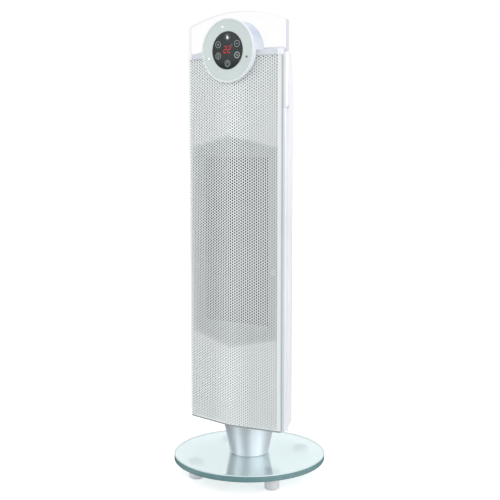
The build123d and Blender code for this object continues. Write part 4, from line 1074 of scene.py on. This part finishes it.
# Room: a white world and a pale floor. Reflections see its lighter and darker sides, by azimuth in degrees
# from the side that the photograph is taken from, to the right, and a light ceiling from some degrees up
STUDIO = {-180: 1.0, -150: 0.8, -120: 0.22, -95: 0.36, -67: 1.15, -50: 0.65, -27: 0.33, -10: 0.42, 0: 0.57,
          20: 1.2, 46: 1.5, 75: 1.1, 95: 0.66, 115: 0.45, 140: 0.6, 160: 1.0, 180: 1.0}
STUDIO_TINT = (0.965, 0.985, 1.0)
CEILING_STARTS, CEILING_FULL = sin(radians(22.0)), sin(radians(42.0))
CEILING = 2.0
WORLD_LIGHT = 0.78
FLOOR_GLOW = 0.5
FLOOR_MIRRORED = 0.29
FLOOR_REACH = 30.0


def studio_colour(nodes, links, coords):
    """How light the room is on each side of the object."""
    facing = nodes.new("ShaderNodeMapping")
    facing.inputs["Rotation"].default_value = (0, 0, radians(-CAMERA_TURN))
    links.new(coords, facing.inputs["Vector"])
    parts = nodes.new("ShaderNodeSeparateXYZ")
    links.new(facing.outputs["Vector"], parts.inputs["Vector"])
    forward = calculated(nodes, links, "MULTIPLY", parts.outputs["Y"], -1.0)
    azimuth = calculated(nodes, links, "ARCTAN2", parts.outputs["X"], forward)
    ramp = nodes.new("ShaderNodeValToRGB")
    stops = ramp.color_ramp.elements
    for i, (degrees, level) in enumerate(STUDIO.items()):
        place = (degrees + 180) / 360
        stop = stops[i] if i < 2 else stops.new(place)
        stop.position = place
        stop.color = [level * tint for tint in STUDIO_TINT] + [1.0]
    links.new(scaled(nodes, links, azimuth, -pi, pi, 0, 1), ramp.inputs["Fac"])
    return ramp.outputs["Color"]


def seen(nodes, links):
    """The Light Path node, with one for camera and transmission rays and none for the rest."""
    path = nodes.new("ShaderNodeLightPath")
    either = calculated(nodes, links, "MAXIMUM", path.outputs["Is Camera Ray"],
                        path.outputs["Is Transmission Ray"])
    return path, either


def light_world():
    """White where it is seen, the studio where it is mirrored, and plain light for the rest."""
    world = bpy.data.worlds.new("world")
    bpy.context.scene.world = world
    world.use_nodes = True
    nodes, links = world.node_tree.nodes, world.node_tree.links
    direction = nodes.new("ShaderNodeTexCoord").outputs["Generated"]
    path, either = seen(nodes, links)
    mirrored_ray = path.outputs["Is Glossy Ray"]
    level = scaled(nodes, links, either, 0, 1, WORLD_LIGHT, 1.0)
    parts = nodes.new("ShaderNodeSeparateXYZ")
    links.new(direction, parts.inputs["Vector"])
    overhead = scaled(nodes, links, parts.outputs["Z"], CEILING_STARTS, CEILING_FULL, 1.0, CEILING)
    shown = blended(nodes, links, mirrored_ray, (1.0, 1.0, 1.0, 1.0), studio_colour(nodes, links, direction))
    links.new(shown, nodes["Background"].inputs["Color"])
    strength = nodes.new("ShaderNodeMix")
    links.new(mirrored_ray, strength.inputs["Factor"])
    links.new(level, strength.inputs["A"])
    links.new(overhead, strength.inputs["B"])
    links.new(strength.outputs["Result"], nodes["Background"].inputs["Strength"])


def floor_finish():
    """A pale floor that keeps shadows, is white where it is seen, and mirrors as the studio's lower half."""
    mat = surface("floor", srgb(238, 240, 240), 0.9, patch=2.0, shade=0.99, Specular_IOR_Level=0.0)
    nodes, links = mat.node_tree.nodes, mat.node_tree.links
    lit = nodes["Principled BSDF"]
    lit.inputs["Emission Color"].default_value = (1, 1, 1, 1)
    path, either = seen(nodes, links)
    links.new(scaled(nodes, links, either, 0, 1, 0, FLOOR_GLOW), lit.inputs["Emission Strength"])
    mirrored_floor = nodes.new("ShaderNodeEmission")
    mirrored_floor.inputs["Strength"].default_value = FLOOR_MIRRORED
    coords = nodes.new("ShaderNodeTexCoord").outputs["Object"]
    links.new(studio_colour(nodes, links, coords), mirrored_floor.inputs["Color"])
    not_through = calculated(nodes, links, "SUBTRACT", 1.0, path.outputs["Is Transmission Ray"])
    mirrored_ray = calculated(nodes, links, "MULTIPLY", path.outputs["Is Glossy Ray"], not_through)
    shader = mixed(nodes, links, mirrored_ray, lit.outputs["BSDF"], mirrored_floor.outputs["Emission"])
    links.new(shader, nodes["Material Output"].inputs["Surface"])
    return mat


light_world()
floor_mesh = bpy.data.meshes.new("floor")
floor_corners = [(a * FLOOR_REACH, b * FLOOR_REACH, 0) for a, b in ((-1, -1), (1, -1), (1, 1), (-1, 1))]
floor_mesh.from_pydata(floor_corners, [], [(0, 1, 2, 3)])
floor_mesh.materials.append(floor_finish())
floor = bpy.data.objects.new("floor", floor_mesh)
bpy.context.scene.collection.objects.link(floor)

# Lamps, in watts, all aimed at the tower's middle
CENTRE = (0, 0, 0.36)


def softbox(name, place, width, height, power):
    light = bpy.data.lights.new(name, "AREA")
    light.shape = "RECTANGLE"
    light.size, light.size_y = width, height
    light.energy = power
    lamp = bpy.data.objects.new(name, light)
    lamp.visible_glossy = False
    lamp.location = place
    lamp.rotation_euler = (Vector(CENTRE) - Vector(place)).to_track_quat("-Z", "Y").to_euler()
    bpy.context.scene.collection.objects.link(lamp)


softbox("key", (-0.7, -2.2, 1.6), 3.0, 3.0, 20)
softbox("fill", (2.2, 0.1, 1.0), 1.0, 1.6, 13.5)
softbox("back", (0.4, 2.2, 1.8), 1.6, 1.2, 9)

bpy.context.scene.view_settings.view_transform = "Standard"


bpy.context.view_layer.update()
